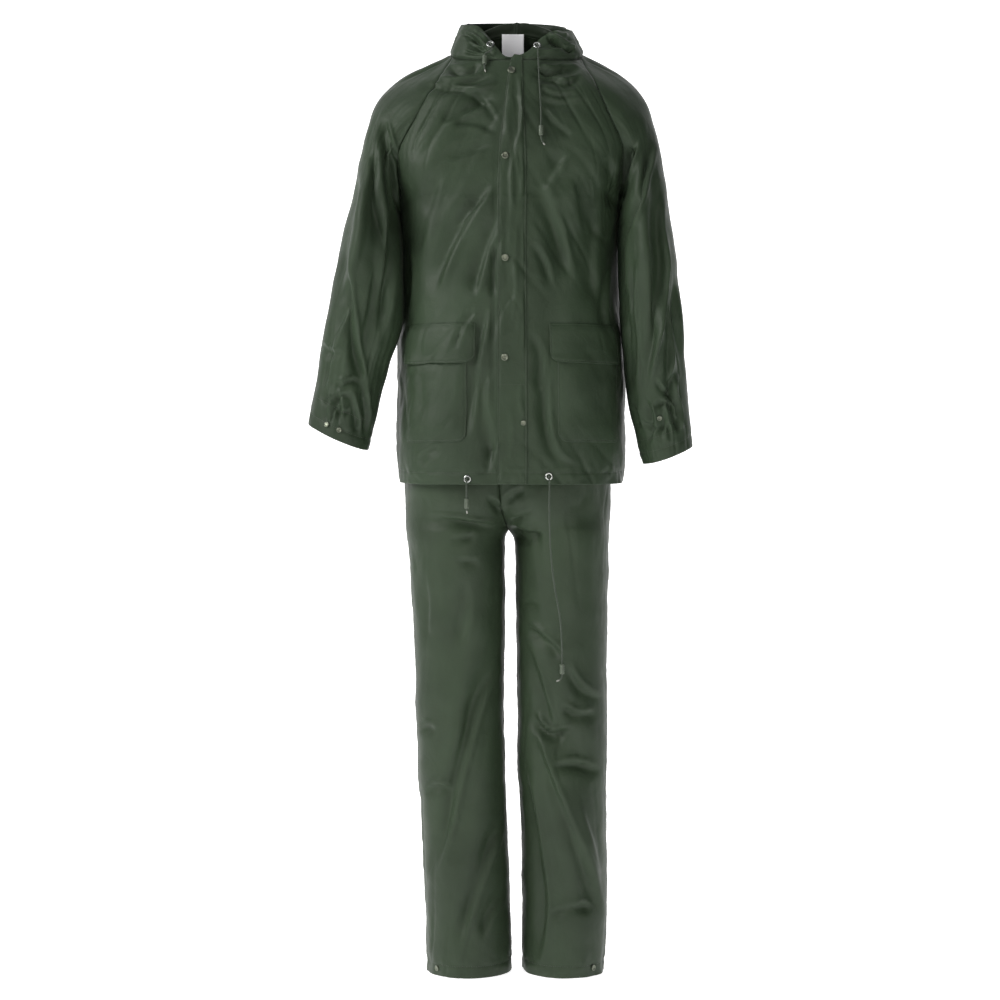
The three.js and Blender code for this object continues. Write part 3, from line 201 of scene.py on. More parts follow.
NECK_SIDE = {"right": (-105.0, 6.0, 3.0), "left": (126.0, 6.0, 3.0)}  # widest point of the neck seam
NECK_FULLNESS = 1.5
SIDE_HEM_LIFT = 9.0
SHOULDER_REACH = 1.25
CUFF_DIP = 8.0
HOOD_CREST = 21.0
HOOD_ROWS = (0, 0.07, 0.13, 0.2, 0.31, 0.43, 0.55, 0.64, 0.7, 0.77, 0.85, 0.93, 1)
INSEAM_Y = 5.0
CROTCH_Z = -828.0
HIP_MIDDLE = 0.9
HIP_PULL = 2.0
YOKE_HEIGHT = 240.0  # rows above the underarm are counted on by this much
STORM_HALF = 0.063  # half the storm flap, as a share of a front's width
STORM_WIDTH = 52.0

UPPER = ("jacket", "sleeve_right", "sleeve_left")  # garment pieces that share their creases across the raglan seams
STEEP_SIDE, LONG_SIDE = 0.6, 1.4  # how far a crease reaches on its lower and its upper side, in its half widths

# Creases of the shell by garment piece and side, drawn on the front by the camera's pixels and on the back by the
# same scale seen flat. Each has half its width in pixels, its height in millimetres, where a trough is negative,
# the share of that height that rises again on its lower side, and its path as x, y, x, y and so on.
CREASES = {
    ("jacket", "front"): (
        (4, -3.2, 0.3, 446, 68, 458, 70, 471, 67, 484, 64), (4, -3.4, 0.5, 534, 68, 548, 71, 566, 69, 584, 70),
        (4.5, -3.8, 0.4, 430, 80, 446, 82, 461, 81, 479, 78, 495, 75),
        (4.5, -3.8, 0.4, 418, 84, 436, 87, 455, 88, 479, 94, 500, 99), (4, 2.2, 0, 502, 82, 465, 92, 445, 97),
        (5, -3.2, 0.4, 495, 97, 465, 110, 440, 122), (2.6, -2.4, 0.4, 448, 66, 462, 70, 482, 67),
        (3, -2.2, 0.4, 470, 90, 486, 104, 498, 122), (5, -1.8, 0.3, 494, 140, 470, 152, 446, 158),
        (3.5, -2, 0.4, 484, 196, 466, 214, 456, 226), (3.5, -2, 0.4, 478, 306, 462, 330, 456, 352),
        (2.6, -2.2, 0.4, 532, 66, 552, 70, 572, 64), (3, -2.2, 0.4, 536, 86, 556, 95, 580, 92),
        (3.5, -2, 0.4, 540, 104, 556, 124, 574, 136), (4, -2.2, 0.4, 531, 240, 545, 262, 552, 292),
        (4, -2.4, 0.4, 612, 256, 604, 300, 606, 340), (4, -2.4, 0.4, 404, 230, 409, 280, 405, 330),
        (4.5, -2.2, 0.3, 497, 132, 472, 122, 450, 124), (8, -4.2, 0.4, 497, 170, 452, 240, 437, 275, 432, 300),
        (6, -4.2, 0.4, 497, 212, 477, 275, 472, 300), (4, -2.6, 0.3, 497, 240, 493, 300),
        (8, -2, 0.3, 440, 165, 425, 215, 413, 262), (6, -3.6, 0.4, 490, 290, 480, 335, 472, 390, 467, 445),
        (7, -3.2, 0.3, 490, 355, 482, 395, 490, 450, 485, 475), (3.5, -2.8, 0.4, 530, 72, 548, 78, 565, 77),
        (3.5, -3, 0.5, 550, 77, 565, 82, 585, 75), (5, -2.2, 0.3, 532, 96, 560, 104, 590, 100),
        (7, -3, 0.3, 565, 150, 540, 190), (7, -4, 0.4, 530, 170, 550, 210, 565, 265, 570, 290),
        (8, 2.6, 0, 570, 175, 580, 235), (6, -3.5, 0.3, 610, 155, 615, 190, 612, 212),
        (7, -2.8, 0.3, 598, 210, 590, 260, 597, 310), (4, -2.2, 0.3, 415, 465, 428, 452, 442, 445),
        (4, -2.6, 0.4, 495, 440, 487, 475), (5, -3.4, 0.4, 550, 355, 545, 390, 550, 440, 562, 460, 585, 470),
        (5, -2.4, 0.3, 530, 330, 541, 355, 538, 400), (2.2, -1.6, 0, 499, 110, 495, 240, 493.5, 360, 493, 470),
    ),
    ("jacket", "back"): (
        (5, -3, 0.4, 470, 70, 500, 82, 548, 80), (8, -4, 0.4, 440, 200, 462, 262, 458, 330),
        (7, -4, 0.4, 560, 196, 548, 256, 556, 318), (8, -4, 0.3, 506, 236, 498, 300, 508, 372, 502, 440),
        (7, -3.4, 0.4, 430, 330, 446, 380, 438, 450), (7, -3.4, 0.4, 585, 320, 570, 372, 580, 450),
        (6, -3, 0.3, 412, 190, 420, 240, 410, 300), (6, -3, 0.3, 610, 186, 602, 240, 611, 290),
    ),
    ("sleeve_right", "front"): (
        (4, -3.6, 0.4, 382, 116, 394, 154, 398, 164), (3.5, -4.4, 0.5, 378, 122, 388, 150, 394, 200, 397, 240),
        (5, 3.4, 0, 368, 136, 366, 200, 352, 285), (3.5, 2.6, 0, 389, 180, 388, 240, 380, 300),
        (4, -3, 0.4, 346, 300, 332, 350, 322, 395), (2.6, -3, 0.5, 330, 376, 341, 384, 352, 380, 366, 384),
        (2.6, -2.6, 0.5, 318, 392, 330, 400, 345, 394, 358, 402), (2.4, -2.4, 0.5, 333, 404, 341, 412, 352, 410),
        (2.2, -2.2, 0.4, 340, 398, 333, 412, 331, 424), (6, -5, 0.4, 374, 140, 375, 180, 380, 230, 386, 260),
        (5, -4.6, 0.5, 348, 236, 348, 290, 354, 340, 362, 380, 366, 410),
        (6, 3, 0, 366, 180, 360, 240, 338, 310, 334, 380), (5, 3, 0, 374, 260, 366, 300, 360, 340),
        (7, -6.5, 0.2, 397, 196, 393, 250, 386, 300, 379, 345), (6, -2.6, 0.3, 350, 150, 356, 196, 350, 232),
        (3, -2.2, 0.4, 326, 384, 326, 426), (3, -2.6, 0.4, 336, 388, 340, 410, 338, 428),
        (3.5, -3, 0.5, 348, 388, 356, 415, 358, 440), (3.5, -3, 0.5, 362, 380, 367, 416, 364, 440),
        (4, -2.4, 0.3, 318, 340, 330, 352, 344, 352),
    ),
    ("sleeve_right", "back"): (
        (7, -4.4, 0.4, 384, 130, 372, 190, 360, 250), (6, -4.4, 0.4, 366, 230, 352, 300, 340, 372),
        (6, 3, 0, 380, 280, 366, 340, 358, 410), (4, -3, 0.4, 336, 360, 344, 400, 340, 430),
    ),
    ("sleeve_left", "front"): (
        (4, -4, 0.5, 639, 132, 631, 158, 619, 199, 613, 220), (4, 2.4, 0, 629, 262, 626, 310, 622, 350),
        (3, -3.2, 0.5, 668, 300, 671, 345, 667, 390), (2.6, -3.2, 0.5, 655, 380, 666, 392, 680, 396),
        (2.6, -3.2, 0.5, 652, 408, 665, 402, 677, 412), (2.6, -2.6, 0.5, 640, 420, 655, 428, 672, 424),
        (2.4, -3, 0.5, 670, 395, 677, 420, 683, 434), (2.4, -2, 0.3, 664, 418, 670, 430, 671, 442),
        (4.5, -4.4, 0.5, 655, 138, 645, 175, 639, 199, 621, 244), (4, 2, 0, 648, 150, 636, 190, 622, 228),
        (5, -5.2, 0.5, 662, 175, 658, 215, 661, 265, 657, 316, 643, 396),
        (4.5, 3, 0, 666, 224, 666, 285, 660, 326, 651, 387), (4, -4, 0.4, 676, 260, 678, 326, 682, 367),
        (5, -3.4, 0.4, 634, 250, 630, 300, 634, 350, 630, 396),
        (6, -4.5, 0.2, 622, 226, 620, 270, 624, 320, 628, 350),
        (3, -4.5, 0.6, 678, 367, 672, 387, 678, 408, 678, 436), (3.5, -3, 0.4, 646, 396, 652, 424, 648, 446),
        (3.5, -2.6, 0.4, 662, 396, 664, 420, 660, 444), (3, -2.4, 0.4, 634, 404, 640, 430),
    ),
    ("sleeve_left", "back"): (
        (7, -4.4, 0.4, 636, 130, 650, 190, 652, 250), (6, -4.4, 0.4, 664, 220, 658, 290, 668, 360),
        (6, 3, 0, 640, 280, 646, 340, 640, 410), (4, -3, 0.4, 672, 380, 664, 410, 670, 440),
    ),
    ("hood", "front"): (
        (3, -2.4, 0.6, 462, 32.8, 473, 38, 484, 46.2), (3, -2.4, 0.6, 467, 42.3, 477, 47, 487, 51.7),
        (3, 1.8, 0, 473, 28, 482, 34, 490, 42), (3, -2.6, 0.6, 545, 36, 560, 42, 572, 46),
        (3.5, 2.4, 0, 531, 50, 550, 51.7, 570, 46), (3, 1.8, 0, 553, 32.8, 570, 34.4),
        (2.4, -3, 0.5, 545, 34, 560, 44, 577, 53), (2.2, -2.2, 0.5, 470, 34, 478, 42, 492, 52),
        (2.2, -2.2, 0.5, 463, 50, 474, 54, 486, 55), (2.5, -3, 0.5, 568, 46, 575, 50),
    ),
    ("hood", "back"): (
        (6, -4, 0.4, 455, 60, 480, 92, 476, 140), (6, -4, 0.4, 560, 58, 542, 96, 546, 140),
        (6, 3, 0, 505, 40, 512, 90, 506, 150), (5, -3, 0.4, 470, 150, 510, 160, 552, 150),
    ),
    ("trousers", "front"): (
        (3.5, -3, 0.4, 486, 498, 494, 502, 504, 515), (4, -3, 0.4, 503, 504, 513, 494, 525, 489),
        (4, -4, 0.5, 424, 518.5, 455, 521, 486, 525, 503, 524), (3.5, -2.4, 0.4, 448, 539, 462, 538, 477, 534),
        (4, -1.8, 0.3, 455, 561, 481, 561), (4, -4, 0.5, 510, 526, 525, 533, 545, 535),
        (3, -2.6, 0.4, 514, 533, 523, 540, 532, 543), (3.5, -3, 0.4, 508, 522, 520, 518, 532, 513),
        (5, -1.6, 0.2, 424, 570, 427, 612, 426, 650), (7, -1.8, 0.2, 466, 577, 464, 621, 455, 650),
        (7, -5, 0.4, 503, 652, 481, 691, 466, 740, 459, 768, 442, 843, 431, 883),
        (6, -4.4, 0.4, 503, 812, 481, 874, 466, 918, 455, 951), (5, -3.4, 0.3, 505, 887, 488, 918, 481, 940),
        (4.5, -3.2, 0.5, 424, 795, 437, 786, 455, 793), (4, -2.8, 0.4, 418, 731, 428, 727, 437, 729),
        (7, 2.6, 0, 470, 700, 452, 760, 440, 800), (4, -2.6, 0.4, 519, 603, 541, 605),
        (5, -4.4, 0.5, 521, 625, 536, 634, 552, 647, 565, 660),
        (5.5, -4, 0.4, 523, 638, 536, 674, 543, 700, 552, 729), (5, -3.6, 0.4, 563, 660, 580, 687, 605, 702),
        (4.5, -4.6, 0.6, 532, 709, 536, 722, 552, 733, 576, 729), (4.5, -3.6, 0.5, 558, 704, 576, 715, 598, 713),
        (6, -4.6, 0.4, 528, 720, 541, 760, 567, 823, 587, 874, 602, 931),
        (6, -4.6, 0.4, 521, 757, 536, 843, 543, 909, 534, 969), (4.5, -4, 0.5, 550, 768, 576, 764, 605, 773),
        (4.5, -2.6, 0.4, 547, 916, 572, 908, 594, 907), (4, -2.2, 0.3, 580, 900, 593, 911),
        (6, 2.6, 0, 575, 790, 592, 850, 600, 895),
    ),
    ("trousers", "back"): (
        (6, -4, 0.4, 440, 560, 470, 590, 500, 606), (6, -4, 0.4, 590, 556, 555, 590, 515, 606),
        (5, -4.6, 0.5, 430, 690, 462, 712, 500, 702), (5, -4, 0.5, 432, 730, 462, 744, 496, 730),
        (5, -4.6, 0.5, 526, 700, 560, 716, 600, 694), (5, -4, 0.5, 530, 736, 566, 748, 602, 732),
        (7, -4.4, 0.4, 490, 760, 470, 830, 446, 900), (7, -4.4, 0.4, 530, 770, 560, 840, 590, 905),
        (5, -3.6, 0.5, 440, 930, 466, 944, 490, 936), (5, -3.6, 0.5, 540, 930, 566, 946, 596, 936),
    ),
}


# Curves through tables and points

def hermite(start, leave, end, arrive, t):
    """Smooth curve between two values or points with the given tangents."""
    t2, t3 = t * t, t * t * t
    return start * (2 * t3 - 3 * t2 + 1) + leave * (t3 - 2 * t2 + t) + end * (3 * t2 - 2 * t3) + arrive * (t3 - t2)


def column(rows, by, name, at):
    """Value of one column of a table at places between its rows, on a smooth curve through them."""
    x, y = rows[by], rows[name]
    if x[-1] < x[0]:
        x, y = x[::-1], y[::-1]
    slope = np.empty(len(x))
    slope[1:-1] = (y[2:] - y[:-2]) / (x[2:] - x[:-2])
    slope[0] = (y[1] - y[0]) / (x[1] - x[0])
    slope[-1] = (y[-1] - y[-2]) / (x[-1] - x[-2])
    at = np.asarray(at, float)
    i = np.clip(np.searchsorted(x, at, side="right") - 1, 0, len(x) - 2)
    span = x[i + 1] - x[i]
    t = np.clip((at - x[i]) / span, 0, 1)
    return hermite(y[i], slope[i] * span, y[i + 1], slope[i + 1] * span, t)


def points_of(x, y, z):
    return np.stack(np.broadcast_arrays(x, y, z), -1).astype(float)


def unit(vectors):
    return vectors / np.maximum(np.linalg.norm(vectors, axis=-1, keepdims=True), 1e-12)


def smooth_step(t):
    t = np.clip(t, 0, 1)
    return t * t * (3 - 2 * t)


def catmull_rom(knots, steps):
    """Centripetal curve through points, in equal steps of its parameter."""
    knots = np.asarray(knots, float)
    line = np.vstack([2 * knots[0] - knots[1], knots, 2 * knots[-1] - knots[-2]])
    spans = len(knots) - 1
    out = []
    for at in np.linspace(0, spans, steps + 1):
        i = min(int(at), spans - 1)
        t = at - i
        p0, p1, p2, p3 = line[i : i + 4]
        d0, d1, d2 = (max(np.linalg.norm(b - a), 1e-4) ** 0.5 for a, b in ((p0, p1), (p1, p2), (p2, p3)))
        leave = ((p1 - p0) / d0 - (p2 - p0) / (d0 + d1) + (p2 - p1) / d1) * d1
        arrive = ((p2 - p1) / d1 - (p3 - p1) / (d1 + d2) + (p3 - p2) / d2) * d1
        out.append(hermite(p1, leave, p2, arrive, t))
    return np.array(out)


def stops_between(stops, step):
    """Places from the first stop to the last, all the stops among them, no further apart than a step."""
    out = [stops[0]]
    for a, b in zip(stops[:-1], stops[1:]):
        n = max(1, math.ceil(abs(b - a) / step - 1e-9))
        out += [a + (b - a) * k / n for k in range(1, n + 1)]
    return np.array(out)


def with_edges(count, start=(), end=()):
    """Evenly spaced places from 0 to 1, with more of them near the ends."""
    places = list(np.linspace(0, 1, count + 1))
    places += list(start) + [1 - e for e in end]
    places = np.array(sorted(places))
    keep = np.concatenate([[True], np.diff(places) > 1e-4])
    return places[keep]


# Panels: grids of points, from which cloth is made

FAR = 99.0  # stands for no edge near, in millimetres


class ClothPanel:
    """A grid of points in millimetres. faces is 1 where its rows and columns turn outwards, and -1 where inwards."""

    def __init__(self, name, garment, points, faces, rows, columns, closed=False):
        self.name, self.garment, self.points, self.faces = name, garment, points, faces
        self.rows, self.columns, self.closed = np.asarray(rows, float), np.asarray(columns, float), closed
        self.normals = None
        self.seam = np.full(points.shape[:2], FAR)

    def sums(self):
        p = self.points
        rise = p[1:, 1:] - p[:-1, :-1]
        across = p[:-1, 1:] - p[1:, :-1]
        normal = np.cross(rise, across) * self.faces
        total = np.zeros_like(p)
        total[:-1, :-1] += normal
        total[1:, :-1] += normal
        total[1:, 1:] += normal
        total[:-1, 1:] += normal
        if self.closed:
            total[:, 0] += total[:, -1]
            total[:, -1] = total[:, 0]
        return total

    def from_edge(self, edge):
        """Distance of each point from one of the panel's edges, along the cloth."""
        axis = 0 if edge in ("bottom", "top") else 1
        steps = np.linalg.norm(np.diff(self.points, axis=axis), axis=-1)
        run = np.concatenate([np.zeros_like(np.take(steps, [0], axis)), np.cumsum(steps, axis=axis)], axis=axis)
        if edge in ("top", "end"):
            run = np.take(run, [-1], axis) - run
        return run

    def at(self, row, col):
        """Points and directions out at places given by the panel's own row and column values."""
        i = np.interp(row, self.rows, np.arange(len(self.rows)))
        j = np.interp(col, self.columns, np.arange(len(self.columns)))
        i, j = np.broadcast_arrays(i, j)
        i0 = np.clip(np.floor(i).astype(int), 0, len(self.rows) - 2)
        j0 = np.clip(np.floor(j).astype(int), 0, len(self.columns) - 2)
        fi, fj = (i - i0)[..., None], (j - j0)[..., None]

        def blend(grid):
            low = grid[i0, j0] * (1 - fj) + grid[i0, j0 + 1] * fj
            high = grid[i0 + 1, j0] * (1 - fj) + grid[i0 + 1, j0 + 1] * fj
            return low * (1 - fi) + high * fi

        return blend(self.points), unit(blend(self.normals))


def share_normals(panels):
    """Gives each panel its directions out, the same for panels that meet at a seam."""
    keys, sums, where, garments = [], [], [], []
    for n, panel in enumerate(panels):
        total = panel.sums()
        panel.normals = unit(total)
        rim = np.zeros(total.shape[:2], bool)
        rim[[0, -1]] = True
        rim[:, [0, -1]] = True
        i, j = np.nonzero(rim)
        keys.append(np.round(panel.points[i, j] * 20).astype(np.int64))
        sums.append(total[i, j])
        where += [(n, a, b) for a, b in zip(i, j)]
        garments += [panel.garment] * len(i)
    keys, sums = np.vstack(keys), np.vstack(sums)
    names = sorted(set(garments))
    owner = np.array([names.index(g) for g in garments])
    _, place = np.unique(keys, axis=0, return_inverse=True)
    place = place.reshape(-1)
    each = np.zeros((len(names), place.max() + 1, 3))
    np.add.at(each, (owner, place), sums)
    size = np.linalg.norm(each, axis=-1, keepdims=True)
    together = unit(np.where(size > 0, each / np.maximum(size, 1e-9), 0).sum(0))
    for (n, a, b), k in zip(where, place):
        panels[n].normals[a, b] = together[k]


# The jacket's body

UNDERARM_Z = BODY["z"][-1]
YOKE = {"front": (CENTRE_FRONT_LINE, RAGLAN_FRONT), "back": (CENTRE_BACK_LINE, RAGLAN_BACK)}


def body_grid(side, face, heights, shares, columns):
    """A front or half a back: rows from the hem to the neck seam, columns from the centre line to the side."""
    u = columns[None, :, None]
    z = heights[:, None]
    low_x, neck_x = CENTRE_X[face]
    start = points_of(low_x, column(BODY, "z", face, z), z)
    end = points_of(column(BODY, "z", side, z), column(BODY, "z", "seam", z), z)
    full = column(BODY, "z", "full", z)
    leave = points_of((end - start)[..., 0] * full, 0, 0)
    arrive = points_of(0, (end - start)[..., 1] * full, 0)
    below = hermite(start, leave, end, arrive, u)
    near_hem = np.maximum(0, 1 - (heights - BODY["z"][0]) / 120)
    below[..., 2] += SIDE_HEM_LIFT * near_hem[:, None] * columns[None, :] ** 4
    line, raglan = YOKE[face]
    s = shares[:, None]
    start = points_of(low_x + (neck_x - low_x) * s**2, column(line, "s", "y", s), column(line, "s", "z", s))
    end = points_of(*(column(raglan, "s", name, s) for name in (side, "y", "z")))
    full = BODY["full"][-1] + (NECK_FULLNESS - BODY["full"][-1]) * s
    leave = points_of((end - start)[..., 0] * full, 0, 0)
    turn = [column(raglan, "s", name, s) for name in ("out", "on", "up")]
    arrive = points_of(turn[0] * OUTWARD[side], turn[1], turn[2])
    return np.concatenate([below, hermite(start, leave, end, arrive, u)])


# Sleeves

def sleeve_ring(side, index, around):
    """Rings of a sleeve at places between the rows of its table, from the underarm round the front."""
    rows = SLEEVE_RIGHT if side == "right" else SLEEVE_LEFT
    numbered = dict(rows, i=np.arange(len(rows["y"]), dtype=float))
    at = {name: column(numbered, "i", name, index)[:, None] for name in rows}
    angle = 2 * np.pi * around[None, :]
    middle_x, middle_z = (at["top_x"] + at["under_x"]) / 2, (at["top_z"] + at["under_z"]) / 2
    x = middle_x - np.cos(angle) * (at["top_x"] - middle_x)
    z = middle_z - np.cos(angle) * (at["top_z"] - middle_z)
    y = at["y"] + np.where(angle < np.pi, -at["front"], at["back"]) * np.abs(np.sin(angle))
    from_cuff = (index - (len(rows["y"]) - 1))[:, None]
    z = z - CUFF_DIP * np.maximum(0, 1 + from_cuff / 3) * np.maximum(0, np.sin(angle))
    return points_of(x, y, z)


def sleeve_edge(side, shares, neck_steps):
    """The raglan seams and the neck edge of a sleeve, and how far round each point lies from 0 to 1."""
    front, back = (
        points_of(*(column(rows, "s", name, shares) for name in (side, "y", "z")))
        for rows in (RAGLAN_FRONT, RAGLAN_BACK)
    )
    neck = catmull_rom([front[-1], NECK_SIDE[side], back[-1]], neck_steps)
    edge = np.concatenate([front, neck[1:-1], back[::-1]])
    around = np.concatenate(
        [7 * shares, 7 + 4 * np.arange(1, neck_steps) / neck_steps, 11 + 7 * (1 - shares[::-1])]
    )
    return edge, around / 18


def sleeve_grid(side, shares, neck_steps, shoulder, index):
    edge, around = sleeve_edge(side, shares, neck_steps)
    first, second = sleeve_ring(side, np.array([0.0, 1.0]), around)
    length = np.linalg.norm(first - edge, axis=-1, keepdims=True) * SHOULDER_REACH
    out, y, down = (column(SLEEVE_START, "around", name, around) for name in ("out", "y", "down"))
    leave = unit(points_of(out * OUTWARD[side], y, -down)) * length
    arrive = unit(second - first) * length
    above = hermite(edge, leave, first, arrive, shoulder[:, None, None])
    grid = np.concatenate([above, sleeve_ring(side, index, around)])
    grid[:, -1] = grid[:, 0]
    return grid, around


# Hood

def run_of(line):
    """Distance of each point of a line from its first, along it."""
    return np.concatenate([[0], np.cumsum(np.linalg.norm(np.diff(line, axis=0), axis=-1))])


def line_place(points, normals, distance):
    """The point at a distance down a line of points, and the direction out there."""
    run = run_of(points)
    out = np.array([np.interp(distance, run, points[:, k]) for k in range(3)]).T
    above = np.minimum(distance, 0)[:, None] * unit(points[2] - points[0])
    normal = unit(np.array([np.interp(distance, run, normals[:, k]) for k in range(3)]).T)
    return out + above, normal


def hood_grid(side, front, back, sleeve, span, levels):
    """Half a hood: columns along the neck seam from the throat to the centre back, rows up to the face edge."""
    seam = np.array([*front.points[-1], *sleeve.points[0, span[0] + 1 : span[1]], *back.points[-1, ::-1]])
    steps = np.linalg.norm(np.diff(seam, axis=0), axis=-1)
    around = np.concatenate([[0], np.cumsum(steps)]) / steps.sum()
    out = seam - np.array([CENTRE_X["back"][1], 0, 0])
    out[:, 2] = 0
    out = unit(out)
    out[-1] = (0, 1, 0)
    height = column(HOOD_EDGE, "around", side, around)
    lean = column(HOOD_WALL, "v", "out", levels)[:, None] * np.minimum(1, height / 40)[None, :]
    grid = seam[None] + out[None] * lean[..., None]
    grid[..., 2] += column(HOOD_WALL, "v", "rise", levels)[:, None] * height[None, :]
    fold, drop, depth = (column(HOOD_FOLD, "around", name, around) for name in ("fold", "drop", "depth"))
    fold = np.clip(fold, 0, 1)
    bag = {name: column(HOOD_BAG, "v", name, levels) for name in ("crest", "along", "off", "deep")}
    fronts, last = len(front.columns), len(seam) - 1
    for k in np.nonzero(fold > 0)[0]:
        if k > fronts + (span[1] - span[0] - 1) - 1:
            j = last - k
            line, normals = back.points[::-1, j], back.normals[::-1, j]
        else:
            j = span[0] + 1 + (k - fronts)
            line, normals = sleeve.points[:, j], sleeve.normals[:, j]
        down = bag["along"] * drop[k] - bag["crest"] * HOOD_CREST
        place, normal = line_place(line, normals, down)
        if k == last:
            normal[:, 0] = 0
            normal = unit(normal)
        place = place + normal * (bag["off"] + bag["deep"] * depth[k])[:, None]
        grid[:, k] += (place - grid[:, k]) * fold[k]
    return grid, around


# Trousers

def trouser_grid(side, face, heights, columns):
    """A leg's front or back: rows from the waist to the hem, columns from the outseam to the inner edge."""
    rise = RISE_FRONT if face == "front" else RISE_BACK
    forward = -1.0 if face == "front" else 1.0
    above = heights >= CROTCH_Z
    at = {name: column(TROUSERS, "z", name, heights) for name in (side, face, "turn")}
    turn = np.clip(at["turn"], 0, 1)
    inner = points_of(
        np.where(above, column(rise, "z", "x", heights), column(INSEAM, "z", side, heights)),
        np.where(above, column(rise, "z", "y", heights), INSEAM_Y),
        np.where(above, column(rise, "z", "seam_z", heights), heights),
    )
    outer = points_of(at[side], 0, heights)
    width = np.abs(inner[:, 0] - outer[:, 0])
    angle = np.pi / 2 * turn
    middle = (HIP_MIDDLE + (1 - HIP_MIDDLE) * turn) * at[face] * forward
    pull = (8 * middle - 4 * inner[:, 1] * forward) / (1 + np.sin(angle))
    leave = points_of(0, forward * pull, 0)
    arrive = points_of(-OUTWARD[side] * np.cos(angle) * HIP_PULL * width, -forward * np.sin(angle) * pull, 0)
    return hermite(outer[:, None], leave[:, None], inner[:, None], arrive[:, None], columns[None, :, None])


# Folds and creases

def seen_at(points):
    """Where the camera sees points, in pixels."""
    near = -CAMERA_PLACE[1] / (points[..., 1] - CAMERA_PLACE[1])
    x = CAMERA_PLACE[0] + (points[..., 0] - CAMERA_PLACE[0]) * near
    z = CAMERA_PLACE[2] + (points[..., 2] - CAMERA_PLACE[2]) * near
    return np.stack([x / PIXEL + ORIGIN_PIXEL[0], ORIGIN_PIXEL[1] - z / PIXEL], -1)


def seen_flat(points):
    """Where points would be seen from the front without depth, in the camera's pixels."""
    return np.stack([points[..., 0] / PIXEL + ORIGIN_PIXEL[0], ORIGIN_PIXEL[1] - points[..., 2] / PIXEL], -1)


def along_path(places, path):
    """Signed distance of each place from a path, and how far along the path it lies from 0 to 1."""
    best = np.full(len(places), 1e9)
    signed, along = np.zeros(len(places)), np.zeros(len(places))
    steps = np.diff(path, axis=0)
    lengths = np.linalg.norm(steps, axis=-1)
    run = np.concatenate([[0], np.cumsum(lengths)])
    for k, (step, length) in enumerate(zip(steps, lengths)):
        if length < 1e-9:
            continue
        off = places - path[k]
        t = np.clip((off @ step) / length**2, 0, 1)
        gap = np.linalg.norm(off - t[:, None] * step, axis=-1)
        nearer = gap < best
        best = np.where(nearer, gap, best)
        cross = off[:, 0] * step[1] - off[:, 1] * step[0]
        signed = np.where(nearer, np.where(cross < 0, -gap, gap), signed)
        along = np.where(nearer, (run[k] + t * length) / run[-1], along)
    return signed, along


def drawn_line(path):
    """A path written as flat numbers, as a smooth line of places."""
    path = np.reshape(path, (-1, 2)).astype(float)
    return catmull_rom(path, 6 * (len(path) - 1)) if len(path) > 2 else path


def taper_of(along):
    """Share of a crease's depth along its path, none at either end."""
    return smooth_step(np.minimum(along, 1 - along) / 0.3)


def large_folds(panel):
    """How far the large folds, which the CAD has too, move a panel's points out."""
    depth = np.zeros(panel.points.shape[:2])
    for on, side, x0, z0, x1, z1, width, height in LARGE_FOLDS:
        if on != panel.garment:
            continue
        facing = panel.normals[..., 1] * (-1 if side == "front" else 1)
        ax, az = x1 - x0, z1 - z0
        length = math.hypot(ax, az)
        dx, dz = panel.points[..., 0] - x0, panel.points[..., 2] - z0
        along = (dx * ax + dz * az) / length**2
        across = (dx * az - dz * ax) / length
        inside = (along > 0) & (along < 1) & (facing > 0)
        taper = np.sin(np.pi * np.clip(along, 0, 1)) ** 0.7
        depth += np.where(inside, height * taper * np.exp(-((across / width) ** 2)) * np.clip(facing * 1.4, 0, 1), 0)
    return depth


def creases(panel, strength):
    """How far the drawn creases move a panel's points out."""
    depth = np.zeros(panel.points.shape[:2])
    views = {"front": seen_at(panel.points), "back": seen_flat(panel.points)}
    tables = UPPER if panel.garment in UPPER else (panel.garment,)
    for side, line in [(side, line) for name in tables for side in views for line in CREASES[name, side]]:
        (width, height, lip), path = line[:3], drawn_line(line[3:])
        facing = panel.normals[..., 1] * (-1 if side == "front" else 1)
        places = views[side]
        reach = 4 * width
        near = (facing > 0.02) & (places > path.min(0) - reach).all(-1) & (places < path.max(0) + reach).all(-1)
        if not near.any():
            continue
        signed, along = along_path(places[near], path)
        x = signed / (width * np.where(signed > 0, STEEP_SIDE, LONG_SIDE))
        uneven = 1 + 0.25 * np.sin(along * 9 + path[0, 0])
        bend = np.exp(-(x**2)) - lip * np.exp(-(((x - 1.7) / 0.9) ** 2))
        depth[near] += height * strength * bend * taper_of(along) * uneven * np.clip(facing[near] * 2.5, 0, 1)
    return depth


def ripple(points, wavelength, seed, waves=14):
    """Slow unevenness of a surface, from -1 to 1 or so, the same each time."""
    rng = np.random.default_rng(seed)
    ways = unit(rng.normal(size=(waves, 3)))
    rate = 2 * np.pi / (wavelength * rng.uniform(0.7, 1.5, waves))
    phase = rng.uniform(0, 2 * np.pi, waves)
    total = np.zeros(points.shape[:-1])
    for way, k, p in zip(ways, rate, phase):
        total += np.sin(points @ way * k + p)
    return total / math.sqrt(waves)


def move_out(panel, distance):
    panel.points = panel.points + panel.normals * distance[..., None]


# The suit's panels, worked out once

def without_near(places, gap):
    places = np.unique(np.round(places, 4))
    out = [places[0]]
    for place in places[1:-1]:
        if place - out[-1] > gap and places[-1] - place > gap:
            out.append(place)
    return np.array(out + [places[-1]])


